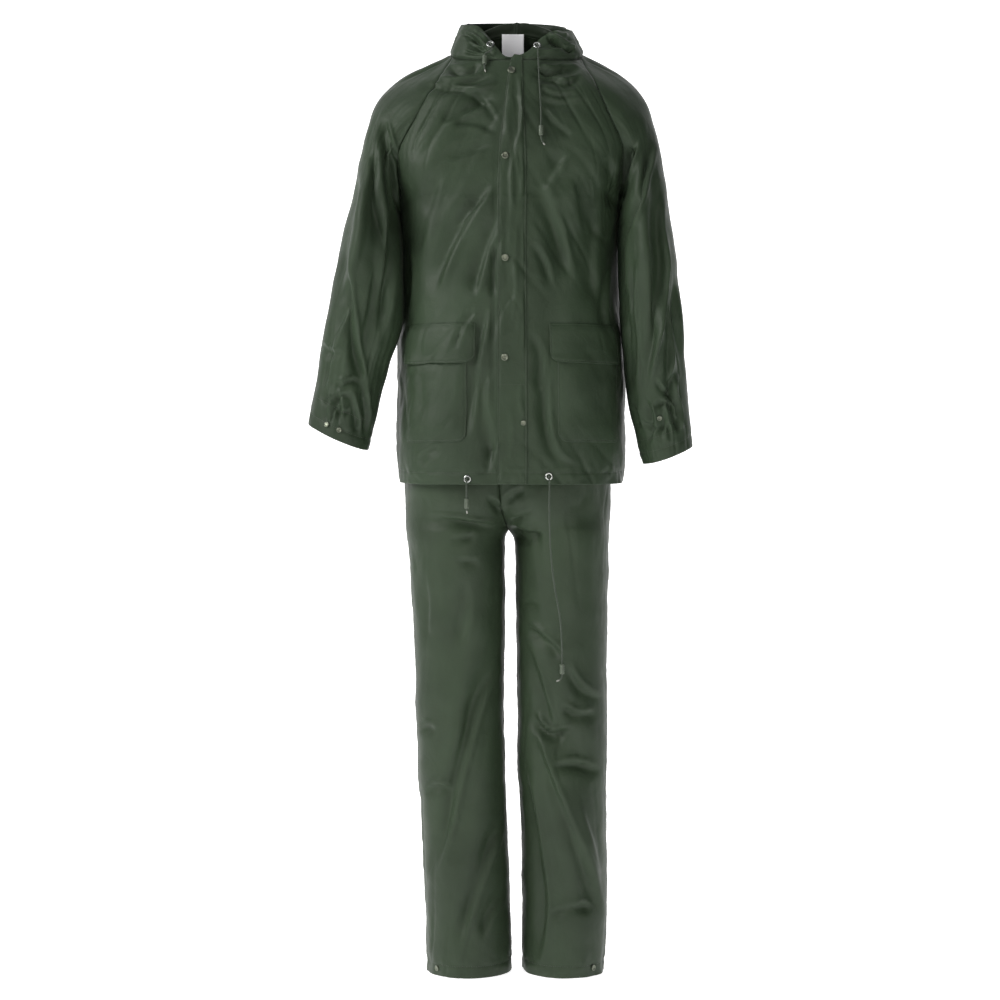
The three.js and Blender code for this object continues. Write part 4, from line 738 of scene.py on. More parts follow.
EDGE_STOPS = (0.006, 0.013, 0.022)
SHARES = with_edges(66, end=(0.004, 0.01))
BODY_HEIGHTS = without_near(
    np.concatenate([stops_between(BODY["z"], 4.1), [-749.5, -748, -746, -733, -731.5, -730]]), 0.9
)
BODY_ROWS = np.concatenate([BODY_HEIGHTS, UNDERARM_Z + YOKE_HEIGHT * SHARES[1:]])
BODY_COLUMNS = {"front": with_edges(84, end=EDGE_STOPS), "back": with_edges(60, end=EDGE_STOPS)}
NECK_STEPS = 24
SHOULDER_STEPS = with_edges(28, start=EDGE_STOPS)[:-1]
SLEEVE_STEPS = stops_between(np.arange(13.0), 0.095)
SLEEVE_ROWS = np.concatenate([SHOULDER_STEPS - 1, SLEEVE_STEPS])
HOOD_LEVELS = stops_between(HOOD_ROWS, 0.018)
LEG_HEIGHTS = -without_near(
    -np.concatenate([stops_between(TROUSERS["z"], 5), [-1594.5, -1593, -1591, -1578, -1576.5, -1575]]), 0.9
)
LEG_COLUMNS = {
    face: with_edges(count, start=EDGE_STOPS, end=EDGE_STOPS) for face, count in (("front", 74), ("back", 56))
}
NECK_ROW = UNDERARM_Z + YOKE_HEIGHT
HOLD_REACH = 16.0  # creases die away this near to a seam with another garment piece
HEM_DEPTH = 20.0
HEM_EXTRA = 0.9  # how much thicker a turned hem is
WAIST_PULL = 0.93  # how far the elastic draws in the top of its band
WAIST_HEIGHT = 38
WAIST_GATHERS = 46
BAND_LAYERS = 2.2
STITCH_INSET = 3.0
THREAD_LIFT = 0.08  # how far the middle of a stitch stands out of the cloth
EYELET_RADIUS = 6.6


def waistband_grid(legs, levels):
    """The band round the trousers' top edge, drawn in as it rises."""
    edges = [
        legs["right", "front"][0], legs["left", "front"][0][::-1][1:],
        legs["left", "back"][0][1:], legs["right", "back"][0][::-1][1:],
    ]
    grid = np.repeat(np.concatenate(edges)[None], len(levels), 0)
    grid[..., :2] *= (1 + (WAIST_PULL - 1) * levels)[:, None, None]
    grid[..., 2] += WAIST_HEIGHT * levels[:, None]
    return grid


# Sewn edges of each panel, by the start of its name
PANEL_SEAMS = {
    "jacket_front": ("top", "end"), "jacket_back": ("top", "start", "end"), "sleeve": ("bottom",),
    "hood": ("bottom", "end"), "trouser_waistband": (), "trouser": ("start", "end"),
}


def smooth_panels():
    """All the shell's panels by name, before they are folded and creased."""
    panels, body, legs = {}, {}, {}

    def add(name, garment, points, faces, rows, columns, closed=False):
        panels[name] = ClothPanel(name, garment, points, faces, rows, columns, closed)

    for side in SIDES:
        for face, faces in (("front", TURN[side]), ("back", -TURN[side])):
            grid = body_grid(side, face, BODY_HEIGHTS, SHARES[1:], BODY_COLUMNS[face])
            body[side, face] = ClothPanel(side + face, "jacket", grid, faces, BODY_ROWS, BODY_COLUMNS[face])
            body[side, face].normals = unit(body[side, face].sums())
    for side in SIDES:
        points = body[side, "front"].points
        add("jacket_front_" + side, "jacket", points, TURN[side], BODY_ROWS, BODY_COLUMNS["front"])
        grid, around = sleeve_grid(side, SHARES, NECK_STEPS, SHOULDER_STEPS, SLEEVE_STEPS)
        add("sleeve_" + side, "sleeve_" + side, grid, -TURN[side], SLEEVE_ROWS, around, True)
    whole = np.concatenate([body["right", "back"].points[:, ::-1], body["left", "back"].points[:, 1:]], axis=1)
    columns = np.concatenate([-BODY_COLUMNS["back"][::-1], BODY_COLUMNS["back"][1:]])
    add("jacket_back", "jacket", whole, 1, BODY_ROWS, columns)
    span = (len(SHARES) - 1, len(SHARES) - 1 + NECK_STEPS)
    for side in SIDES:
        sleeve = panels["sleeve_" + side]
        sleeve.normals = unit(sleeve.sums())
        grid, around = hood_grid(side, body[side, "front"], body[side, "back"], sleeve, span, HOOD_LEVELS)
        add("hood_" + side, "hood", grid, TURN[side], HOOD_LEVELS, around)
        for face, faces in (("front", TURN[side]), ("back", -TURN[side])):
            legs[side, face] = trouser_grid(side, face, LEG_HEIGHTS, LEG_COLUMNS[face])
            add(f"trouser_{side}_{face}", "trousers", legs[side, face], faces, -LEG_HEIGHTS, LEG_COLUMNS[face])
    levels = np.linspace(0, 1, 10)
    band = waistband_grid(legs, levels)
    add("trouser_waistband", "trousers", band, -1, levels, np.linspace(0, 1, band.shape[1]), True)
    return panels


def mark_seams(panel):
    """Measures how far each point is from a seam, and how freely creases form there, from 0 to 1."""
    for edge in next(edges for name, edges in PANEL_SEAMS.items() if panel.name.startswith(name)):
        panel.seam = np.minimum(panel.seam, np.broadcast_to(panel.from_edge(edge), panel.seam.shape))
    held = panel.seam if panel.garment != "trousers" else np.full(panel.seam.shape, FAR)
    if panel.garment == "hood":
        held = np.broadcast_to(panel.from_edge("bottom"), panel.seam.shape)
    panel.hold = smooth_step(held / HOLD_REACH)


def relief(panel, strength):
    """How far creases, hang lines, seams and the hem move a panel's points out."""
    p = panel.points
    # below the neck, creases run on across the raglan seams
    yoke = smooth_step((-18 - p[..., 2]) / 20) if panel.garment in UPPER else 0.0
    out = creases(panel, strength) * np.maximum(panel.hold, yoke)
    out = out + drape(panel) * panel.hold + side_fullness(panel)
    out += ripple(p, 120, 3) * 0.9 + ripple(p, 46, 4) * 0.35
    # seams pucker, and lie in a groove beside a ridge
    out += np.exp(-((panel.seam / 11) ** 2)) * ripple(p, 15, 5) * 0.45
    out += 0.55 * np.exp(-(((panel.seam - 6) / 3) ** 2)) - 0.75 * np.exp(-((panel.seam / 2.4) ** 2))
    if panel.name == "trouser_waistband":
        gathers = 1.4 * np.sin(panel.columns * 2 * np.pi * WAIST_GATHERS)
        return out + gathers[None, :] * np.sin(np.pi * panel.rows)[:, None]
    # hems have a groove where they are sewn, puckers about it and a wavy edge
    hem = hem_distance(panel)
    out += -0.7 * np.exp(-(((hem - HEM_DEPTH) / 2) ** 2))
    out += np.exp(-(((hem - HEM_DEPTH) / 12) ** 2)) * ripple(p, 19, 6) * 0.7
    return out + np.clip(1 - hem / HEM_DEPTH, 0, 1) * ripple(p, 60, 7) * 1.1


def make_panels(strength):
    """All the shell's panels by name, with their folds, creases and grooved seams."""
    panels = smooth_panels()
    everything = list(panels.values())
    for panel in everything:
        mark_seams(panel)
    share_normals(everything)
    for panel in everything:
        move_out(panel, large_folds(panel) * panel.hold)
    share_normals(everything)
    for panel in everything:
        move_out(panel, relief(panel, strength))
    share_normals(everything)
    return panels


def drape(panel):
    """Fine long wrinkles that follow the hang of the cloth, in patches, all round."""
    p = panel.points
    if panel.garment.startswith("sleeve"):
        turn = 2 * np.pi * panel.columns[None, :]
        run = panel.from_edge("bottom") / 7 + 12 * np.sin(turn)
        flow = points_of(76 * np.cos(turn), 76 * np.sin(turn), run)
    elif panel.garment == "jacket":
        aside = np.abs(p[..., 0]) * 0.87 + p[..., 2] * 0.5
        down = (p[..., 2] * 0.87 - np.abs(p[..., 0]) * 0.5) / 6
        flow = points_of(aside, p[..., 1], down)
    elif panel.garment == "hood":
        flow = p * (0.5, 1, 1)
    else:
        middle = np.where(p[..., 0] < 0, -88, 90)
        lean = (p[..., 0] - middle) + 0.16 * np.sign(middle) * (p[..., 2] + 1100)
        flow = points_of(lean, p[..., 1], p[..., 2] / 6.5)
    patches = np.clip(0.45 + 0.75 * ripple(p, 230, 41), 0.08, 1.2)
    lines = ripple(flow, 62, 42)
    fine = ripple(flow, 30, 43)
    deep, faint = 1.5 * np.exp(-((lines / 0.22) ** 2)), 0.6 * np.exp(-((fine / 0.3) ** 2))
    return patches * (0.8 * ripple(flow, 40, 44) - deep - faint)


def side_fullness(panel):
    """A little more cloth at the jacket's sides, where the sleeves hang against them."""
    if not panel.name.startswith("jacket"):
        return 0.0
    z = panel.points[..., 2]
    side = np.minimum(panel.from_edge("end"), panel.from_edge("start") if panel.name == "jacket_back" else 1e9)
    return 4.5 * np.exp(-((side / 38) ** 2)) * smooth_step((-242 - z) / 18) * smooth_step((z + 640) / 160)


def hem_distance(panel):
    """Distance of each point from the panel's free edge, along the cloth."""
    if panel.name.startswith("jacket"):
        return panel.from_edge("bottom")
    if panel.name.startswith(("sleeve", "trouser", "hood")):
        return panel.from_edge("top")
    return np.full(panel.points.shape[:2], FAR)


def press_behind(points, normals, line, radius, spare=0.45, reach=9.0):
    """Moves cloth back where a cord or barrel lies on it, so that it stays clear of it."""
    flat = points.reshape(-1, 3)
    out = normals.reshape(-1, 3)
    low, high = line.min(0) - reach - 6, line.max(0) + reach + 6
    near = np.nonzero(((flat > low) & (flat < high)).all(-1))[0]
    if not len(near):
        return points
    off = flat[near][:, None, :] - line[None]
    gaps = np.linalg.norm(off, axis=-1)
    nearest = off[np.arange(len(near)), gaps.argmin(1)]
    height = (nearest * out[near]).sum(-1)
    aside = np.sqrt(np.maximum((nearest**2).sum(-1) - height**2, 0))
    wanted = -(radius + spare)
    push = np.minimum(wanted - height, 0) * (1 - smooth_step((aside - radius) / reach))
    push = np.where(height < 8, push, 0)
    moved = flat.copy()
    moved[near] += out[near] * push[:, None]
    return moved.reshape(points.shape)


# Drawstrings: points from the eyelet to the free end, and the barrel's upper and lower end, in millimetres

CORD_RADIUS = 1.25
CORD_SIDES = 14
TIP_LENGTH = 5
BARREL_RADIUS = 4.0
CORDS = {
    "hood_cord_right": ((
        (-35.7, -64.7, 8.1), (-35.8, -66.5, 9), (-35.6, -68.9, 9.3), (-34.8, -71.5, 8.1), (-33.9, -73.5, 5.2),
        (-33, -75, 0.8), (-33.4, -76, -3.4), (-36.1, -76.4, -6.4), (-40, -76.4, -7.6), (-43.4, -76.6, -9.2),
        (-45.2, -77.4, -12.2), (-45.4, -79.2, -17), (-45.6, -82.6, -25), (-45.8, -85, -30.8),
        (-45.7, -87.2, -35.5), (-45, -89.2, -40), (-43.8, -91.2, -44.5),
    ), ((-45.3, -78.2, -14.2), (-45.8, -84.8, -29.8))),
    "hood_cord_left": ((
        (44.7, -67.1, 5.9), (44.7, -68.9, 6.9), (44.8, -71.2, 7.3), (45, -73.9, 6.4), (45.2, -76.2, 3.4),
        (45.6, -78.4, -4), (46, -80.6, -13), (46.4, -84.2, -23), (46.8, -89, -34), (47.2, -94, -46),
        (47.7, -97.8, -58), (48.3, -101.1, -69), (48.9, -104.1, -80), (49.5, -107.3, -92), (50, -109.9, -103),
        (50.4, -112.6, -114), (50.5, -115.2, -125), (50.6, -117.6, -134.5), (50.6, -118.9, -140.5),
        (50.6, -121.4, -157.3), (50.9, -122, -162), (52.2, -122.2, -166.5), (54.4, -122.2, -170.5),
        (57, -122, -174),
    ), ((50.6, -118.9, -140.5), (50.6, -121.4, -157.3))),
    "hem_cord_right": ((
        (-74.2, -144.7, -741.5), (-74.6, -146.7, -741.5), (-75.1, -148.6, -742.3), (-75.4, -150.2, -744.5),
        (-75.6, -151, -748.5), (-75.6, -151.2, -753.5), (-75.6, -151.1, -760), (-75.5, -150.8, -767),
        (-75.4, -150.5, -774.5), (-75.3, -149.9, -791.5), (-75, -149.8, -795.5), (-74.3, -149.8, -800),
    ), ((-75.4, -150.5, -774.5), (-75.3, -149.9, -791.5))),
    "hem_cord_left": ((
        (63.7, -147, -737.2), (63.9, -149, -737.2), (64.1, -151, -738.1), (64.2, -152.6, -740.4),
        (64.3, -153.4, -744.5), (64.3, -153.6, -750), (64.2, -153.2, -758), (64.1, -152.2, -771),
        (64, -150.8, -788), (64.3, -149, -806), (64.9, -146.5, -826), (65.6, -143.6, -848), (67.2, -140.4, -872),
        (69.8, -137, -898), (73.6, -133.4, -925), (78.2, -130.2, -951), (82.2, -127.4, -974), (84.6, -124.8, -998),
        (85.8, -122.6, -1022), (86.3, -121, -1042), (86.4, -120.2, -1056), (86.4, -119.4, -1073),
        (86, -119.2, -1077), (84.2, -119.2, -1081), (80.8, -119.4, -1083.6), (76.8, -119.6, -1084.6),
    ), ((86.4, -120.2, -1056), (86.4, -119.4, -1073))),
}


def cord_lines():
    """The middle line of each drawstring in millimetres."""
    return {name: catmull_rom(route, 5 * (len(route) - 1)) for name, (route, _) in CORDS.items()}


STATE = {}


def suit_panels():
    """Panels of the suit as the chosen sizes make them, with room for the drawstrings."""
    strength = bpy.context.scene.rain_suit_sizes.crease_strength
    if STATE.get("strength") != strength:
        panels = make_panels(strength)
        for name, line in cord_lines().items():
            barrel = CORDS[name][1]
            body = np.linspace(barrel[0], barrel[1], 12)
            for panel in panels.values():
                if panel.garment in ("jacket", "hood", "trousers"):
                    panel.points = press_behind(panel.points, panel.normals, line[6:], CORD_RADIUS)
                    panel.points = press_behind(panel.points, panel.normals, body, BARREL_RADIUS)
        share_normals(list(panels.values()))
        STATE.update(strength=strength, panels=panels)
    return STATE["panels"]


def storm_at(row, col):
    """A place on the two fronts taken as one: col is below 0 on the right front."""
    panels = suit_panels()
    row, col = np.broadcast_arrays(np.asarray(row, float), np.asarray(col, float))
    right = panels["jacket_front_right"].at(row, np.maximum(-col, 0))
    left = panels["jacket_front_left"].at(row, np.maximum(col, 0))
    on_left = (col > 0)[..., None]
    middle = (np.abs(col) < 1e-9)[..., None]
    point = np.where(middle, (right[0] + left[0]) / 2, np.where(on_left, left[0], right[0]))
    normal = unit(np.where(middle, right[1] + left[1], np.where(on_left, left[1], right[1])))
    return point, normal


def row_at_height(place, col, low, high, z):
    """The row value at which a column of a surface has a height."""
    rows = np.linspace(low, high, 400)
    heights = place(rows, np.full(400, col))[0][:, 2]
    order = np.argsort(heights)
    return float(np.interp(z, heights[order], rows[order]))


# Meshes

def link(name, mesh):
    """An object of a mesh, in the scene."""
    obj = bpy.data.objects.new(name, mesh)
    bpy.context.scene.collection.objects.link(obj)
    return obj


def mesh_object(name, verts, faces, uvs=None, sharp=None, attributes=None):
    """A mesh object from millimetre points. uvs has a row for each face corner, in metres of cloth."""
    mesh = bpy.data.meshes.new(name)
    faces = faces.tolist() if hasattr(faces, "tolist") else faces
    mesh.from_pydata((np.asarray(verts, float) * MM).tolist(), [], faces)
    mesh.polygons.foreach_set("use_smooth", np.full(len(mesh.polygons), True))
    if sharp is not None:
        layer = mesh.attributes.get("sharp_face") or mesh.attributes.new("sharp_face", "BOOLEAN", "FACE")
        layer.data.foreach_set("value", np.asarray(sharp, bool))
    if uvs is not None:
        mesh.uv_layers.new(name="cloth").data.foreach_set("uv", np.asarray(uvs, np.float32).reshape(-1))
    for key, values in (attributes or {}).items():
        values = np.asarray(values, np.float32).reshape(-1)
        mesh.attributes.new(key, "FLOAT", "POINT").data.foreach_set("value", values)
    mesh.update()
    return link(name, mesh)


def cloth_shell(name, outer, inner, faces, closed=False, seam=None):
    """A closed thin shell between two grids of points, with sharp edges at its rims."""
    rows, columns = outer.shape[:2]
    along = np.cumsum(np.r_[0, np.linalg.norm(np.diff(outer, axis=0), axis=-1).mean(1)]) * MM
    across = np.cumsum(np.r_[0, np.linalg.norm(np.diff(outer, axis=1), axis=-1).mean(0)]) * MM
    used = columns - 1 if closed else columns
    total = rows * used
    verts = np.concatenate([outer[:, :used].reshape(-1, 3), inner[:, :used].reshape(-1, 3)])
    here = np.arange(total).reshape(rows, used)
    left = here if closed else here[:, :-1]
    right = np.roll(here, -1, 1) if closed else here[:, 1:]
    ul, vv = np.meshgrid(across[:-1], along)
    ur = np.meshgrid(across[1:], along)[0]

    def corner(index, u, v, shift=0):
        return np.stack([(index + shift).reshape(-1), u.reshape(-1), v.reshape(-1)], -1)

    def quads(a, b, c, d, turned):
        return np.stack([a, d, c, b] if turned != (faces < 0) else [a, b, c, d], 1)

    parts = []
    for shift in (0, total):
        parts.append(quads(
            corner(left[:-1], ul[:-1], vv[:-1], shift), corner(left[1:], ul[1:], vv[1:], shift),
            corner(right[1:], ur[1:], vv[1:], shift), corner(right[:-1], ur[:-1], vv[:-1], shift), shift > 0,
        ))
    main = len(parts[0]) * 2
    for k in (0, -1):
        parts.append(quads(
            corner(left[k], ul[k], vv[k]), corner(right[k], ur[k], vv[k]),
            corner(right[k], ur[k], vv[k], total), corner(left[k], ul[k], vv[k], total), k < 0,
        ))
    for k in () if closed else (0, -1):
        low, high, u = here[:-1, k], here[1:, k], np.full(rows - 1, across[k])
        parts.append(quads(
            corner(low, u, along[:-1]), corner(low, u, along[:-1], total),
            corner(high, u, along[1:], total), corner(high, u, along[1:]), k < 0,
        ))
    every = np.concatenate(parts)
    sharp = np.arange(len(every)) >= main
    attributes = None
    if seam is not None:
        seam = seam[:, :used].reshape(-1)
        # inside marks the inner layer, which the cloth material paints darker as painted shade
        attributes = {"seam": np.concatenate([seam, seam]) * MM, "inside": np.repeat([0.0, 1.0], total)}
    return mesh_object(name, verts, every[..., 0].astype(int), every[..., 1:].reshape(-1, 2), sharp, attributes)


def frame_round(axis):
    """Two directions square to an axis, and the axis, all of unit length."""
    axis = unit(np.asarray(axis, float))
    aside = np.cross(axis, (0, 0, 1.0))
    if np.linalg.norm(aside) < 0.1:
        aside = np.cross(axis, (1.0, 0, 0))
    aside = unit(aside)
    return aside, np.cross(axis, aside), axis


def lathe(name, profile, sides, place, axis):
    """A turned piece from (radius, height) points, closed at its poles or on itself, standing on a place."""
    aside, beside, up = frame_round(axis)
    ring = profile[0] == profile[-1]
    profile = profile[:-1] if ring else profile
    verts, index = [], []
    for radius, height in profile:
        if radius < 1e-6:
            index.append([len(verts)] * sides)
            verts.append(place + up * height)
            continue
        index.append(list(range(len(verts), len(verts) + sides)))
        for k in range(sides):
            turn = 2 * math.pi * k / sides
            verts.append(place + (aside * math.cos(turn) + beside * math.sin(turn)) * radius + up * height)
    faces = []
    spans = len(index) if ring else len(index) - 1
    for i in range(spans):
        low, high = index[i], index[(i + 1) % len(index)]
        for k in range(sides):
            n = (k + 1) % sides
            face = []
            for vertex in (low[k], low[n], high[n], high[k]):
                if vertex not in face:
                    face.append(vertex)
            if len(face) > 2:
                faces.append(face)
    return mesh_object(name, np.array(verts), faces)


def set_edges(obj, degrees):
    """Marks edges sharper than an angle, so that flat faces and rims read crisply."""
    mesh = obj.data
    mesh.update()
    limit = math.radians(degrees)
    sharp = {}
    for face in mesh.polygons:
        for key in face.edge_keys:
            sharp.setdefault(key, []).append(face.normal.copy())
    values = []
    for edge in mesh.edges:
        normals = sharp.get(tuple(sorted(edge.vertices)), [])
        values.append(len(normals) == 2 and normals[0].angle(normals[1], 0) > limit)
    layer = mesh.attributes.get("sharp_edge") or mesh.attributes.new("sharp_edge", "BOOLEAN", "EDGE")
    layer.data.foreach_set("value", values)


def tube(name, line, radii, sides):
    """A round tube along a line of points, with closed ends and cloth coordinates: round it and along it."""
    line = np.asarray(line, float)
    along = unit(np.gradient(line, axis=0))
    aside = unit(np.cross(along[0], (0.3, 0.2, 1.0)))
    run = run_of(line)
    turn = 2 * np.pi * np.arange(sides) / sides
    verts = []
    for place, way, radius in zip(line, along, np.broadcast_to(radii, len(line))):
        aside = unit(aside - way * (aside @ way))
        beside = np.cross(way, aside)
        verts += [place + radius * (aside * math.cos(a) + beside * math.sin(a)) for a in turn]
    faces, uvs = [], []
    for i in range(len(line) - 1):
        for k in range(sides):
            n = (k + 1) % sides
            faces.append((i * sides + k, i * sides + n, (i + 1) * sides + n, (i + 1) * sides + k))
            u0, u1 = k / sides, (k + 1) / sides
            uvs += [(u0, run[i] * MM), (u1, run[i] * MM), (u1, run[i + 1] * MM), (u0, run[i + 1] * MM)]
    first, last = len(verts), len(verts) + 1
    verts += [line[0], line[-1]]
    end = (len(line) - 1) * sides
    for k in range(sides):
        n = (k + 1) % sides
        faces.append((first, n, k))
        faces.append((last, end + k, end + n))
        uvs += [(0, 0)] * 3 + [(0, run[-1] * MM)] * 3
    return mesh_object(name, np.array(verts), faces, uvs)


# Materials

class Nodes:
    """Adds nodes to a tree, each with its settings and its inputs in one step."""

    def __init__(self, tree):
        self.nodes, self.links = tree.nodes, tree.links

    def feed(self, node, inputs):
        """Gives inputs a fixed value, or joins them to the output of another node."""
        for key, value in inputs.items():
            if hasattr(value, "is_linked"):
                self.links.new(value, node.inputs[key])
            else:
                node.inputs[key].default_value = value

    def add(self, kind, inputs, out=0, **settings):
        node = self.nodes.new(kind)
        for key, value in settings.items():
            setattr(node, key, value)
        self.feed(node, inputs)
        return node.outputs[out]


class Look(Nodes):
    """A material in the making."""

    def __init__(self, name):
        self.material = bpy.data.materials.new(name)
        self.material.use_nodes = True
        super().__init__(self.material.node_tree)

    def coords(self, out="Object"):
        return self.add("ShaderNodeTexCoord", {}, out)

    def attribute(self, name):
        return self.add("ShaderNodeAttribute", {}, "Fac", attribute_name=name)

    def noise(self, place, scale, detail=2, rough=0.5, distortion=0):
        inputs = {"Vector": place, "Scale": scale, "Detail": detail, "Roughness": rough, "Distortion": distortion}
        return self.add("ShaderNodeTexNoise", inputs, "Fac")

    def wave(self, place, scale, distortion=0, direction="X"):
        inputs = {"Vector": place, "Scale": scale, "Distortion": distortion}
        return self.add("ShaderNodeTexWave", inputs, "Fac", bands_direction=direction)

    def spread(self, value, low, high, to_low=0, to_high=1):
        inputs = {"Value": value, "From Min": low, "From Max": high, "To Min": to_low, "To Max": to_high}
        return self.add("ShaderNodeMapRange", inputs, "Result")

    def mix(self, share, first, second, mode="MIX"):
        """Mixes two colours, each a fixed value or another node's output."""
        return self.add("ShaderNodeMix", {0: share, 6: first, 7: second}, 2, data_type="RGBA", blend_type=mode)

    def bump(self, height, strength, distance, under=None):
        inputs = {"Height": height, "Strength": strength, "Distance": distance}
        if under is not None:
            inputs["Normal"] = under
        return self.add("ShaderNodeBump", inputs, "Normal")

    def done(self, inputs):
        self.feed(next(node for node in self.nodes if node.type == "BSDF_PRINCIPLED"), inputs)
        return self.material


def shaded(colour, share=1.0):
    """A colour made darker or lighter, by one share or by one each for red, green and blue."""
    return (*np.minimum(np.array(colour[:3]) * share, 1).tolist(), 1.0)


def coated_cloth(name, colour):
    """Knitted cloth under a soft rubbery coat: faint knit, small crumples, a satin gloss, darker seams, and an inner
    side coloured darker as painted shade.
    """
    look = Look(name)
    place = look.coords()
    clouds = look.spread(look.noise(place, 7, 3, 0.55), 0.3, 0.7)
    near = look.spread(look.attribute("seam"), 0.0004, 0.0028, 0.78)
    grey = look.add("ShaderNodeCombineColor", {0: near, 1: near, 2: near})
    coat = look.mix(1.0, look.mix(clouds, shaded(colour, 0.8), shaded(colour, 1.16)), grey, "MULTIPLY")
    crumple = look.bump(look.noise(place, 34, 4, 0.55, 0.5), 0.3, 0.004)
    knit = look.bump(look.wave(look.coords("UV"), 420, 1.2), 0.05, 0.0003, crumple)
    return look.done({
        # painted shade: the inner side of the cloth is coloured darker, standing in for the shadow inside the hood
        # and the garments
        "Base Color": look.mix(look.attribute("inside"), coat, shaded(colour, (0.42, 0.46, 0.4))),
        "Roughness": look.spread(look.noise(place, 26, 4, 0.6, 0.3), 0.25, 0.75, 0.48, 0.62),
        "Normal": look.bump(look.noise(place, 900, 2, 0.6), 0.08, 0.0004, knit),
        "IOR": 1.45, "Specular IOR Level": 0.34, "Sheen Weight": 0.01, "Sheen Roughness": 0.4,
    })


def worn_metal(name, colour, roughness):
    look = Look(name)
    place = look.coords()
    mottle = look.spread(look.noise(place, 700, 3, 0.6), 0.3, 0.7)
    fine = look.noise(place, 1500)
    return look.done({
        "Base Color": look.mix(mottle, shaded(colour, 0.72), shaded(colour)),
        "Roughness": look.spread(fine, 0.3, 0.7, roughness * 0.8, roughness * 1.25),
        "Normal": look.bump(fine, 0.06, 0.0002), "Metallic": 0.95,
    })


def moulded_plastic(name, colour):
    look = Look(name)
    place = look.coords()
    grain = look.noise(place, 1800)
    return look.done({
        "Base Color": look.mix(look.noise(place, 260, 3), shaded(colour, 0.75), shaded(colour)),
        "Roughness": look.spread(grain, 0.3, 0.7, 0.34, 0.5), "Normal": look.bump(grain, 0.1, 0.0002),
    })


def braided_yarn(name, colour, fineness=1.0):
    """Braid of a drawstring or the twist of a thread, drawn round and along the piece."""
    look = Look(name)
    waves = []
    for lean in (1, -1):
        inputs = {"Vector": look.coords("UV"), "Scale": (4.0, 500.0 * fineness * lean, 1)}
        waves.append(look.wave(look.add("ShaderNodeMapping", inputs), 1, direction="DIAGONAL"))
    braid = look.add("ShaderNodeMath", {0: waves[0], 1: waves[1]}, operation="MAXIMUM")
    fibres = look.noise(look.coords(), 2400)
    return look.done({
        "Base Color": look.mix(braid, shaded(colour, 0.5), shaded(colour)),
        "Roughness": look.spread(fibres, 0.3, 0.7, 0.65, 0.9),
        "Normal": look.bump(fibres, 0.2, 0.0002, look.bump(braid, 0.5, 0.0003)), "Sheen Weight": 0.2,
    })


def label_ribbon(name, colour):
    """Plain woven satin ribbon, left bare."""
    look = Look(name)
    soft = look.noise(look.coords(), 60, 3)
    return look.done({
        "Base Color": look.mix(soft, shaded(colour, 0.86), shaded(colour)),
        "Roughness": look.spread(soft, 0.3, 0.7, 0.42, 0.6),
        "Normal": look.bump(look.wave(look.coords("UV"), 600, direction="Y"), 0.15, 0.0002), "Sheen Weight": 0.15,
    })


def pale_paper():
    look = Look("pale paper")
    return look.done({
        "Base Color": look.mix(look.noise(look.coords(), 3), (0.9, 0.9, 0.9, 1), (0.93, 0.93, 0.93, 1)),
        "Roughness": 0.8, "Specular IOR Level": 0.2, "Emission Color": (1, 1, 1, 1), "Emission Strength": 0.88,
    })


# Kinds of piece: slot, maker of the material, its name, the colour chosen for it, and more for the maker
FINISHES = {
    "jacket": ("jacket_cloth", coated_cloth, "coated jacket cloth", "jacket"),
    "trousers": ("trouser_cloth", coated_cloth, "coated trouser cloth", "trousers"),
    "snap": ("snap_metal", worn_metal, "dulled snap metal", "snaps", 0.36),
    "eyelet": ("eyelet_metal", worn_metal, "bright eyelet metal", "eyelets", 0.22),
    "cord": ("cord_yarn", braided_yarn, "braided drawstring", "cords"),
    "thread": ("cord_yarn", braided_yarn, "sewing thread", "thread", 4.0),
    "barrel": ("barrel_plastic", moulded_plastic, "barrel plastic", "barrels"),
    "label": ("label_cloth", label_ribbon, "bare label ribbon", "label"),
}


TIP_COLOUR = (0.36, 0.36, 0.33, 1)


def finish(kind):
    """The suit's materials, made once each from the chosen colours."""
    made = STATE.setdefault("finishes", {})
    if kind not in made:
        _, maker, name, colour, *more = FINISHES[kind]
        made[kind] = maker(name, getattr(bpy.context.scene.rain_suit_colours, colour), *more)
    return made[kind]


def place_piece(obj, kind, *nodes):
    """Gives a finished piece its material, hangs it under the root body, and puts it in place of CAD nodes."""
    obj.data.materials.clear()
    obj.data.materials.append(finish(kind))
    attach(obj, "root")
    if nodes:
        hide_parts(*nodes)
    return obj


# Stitches

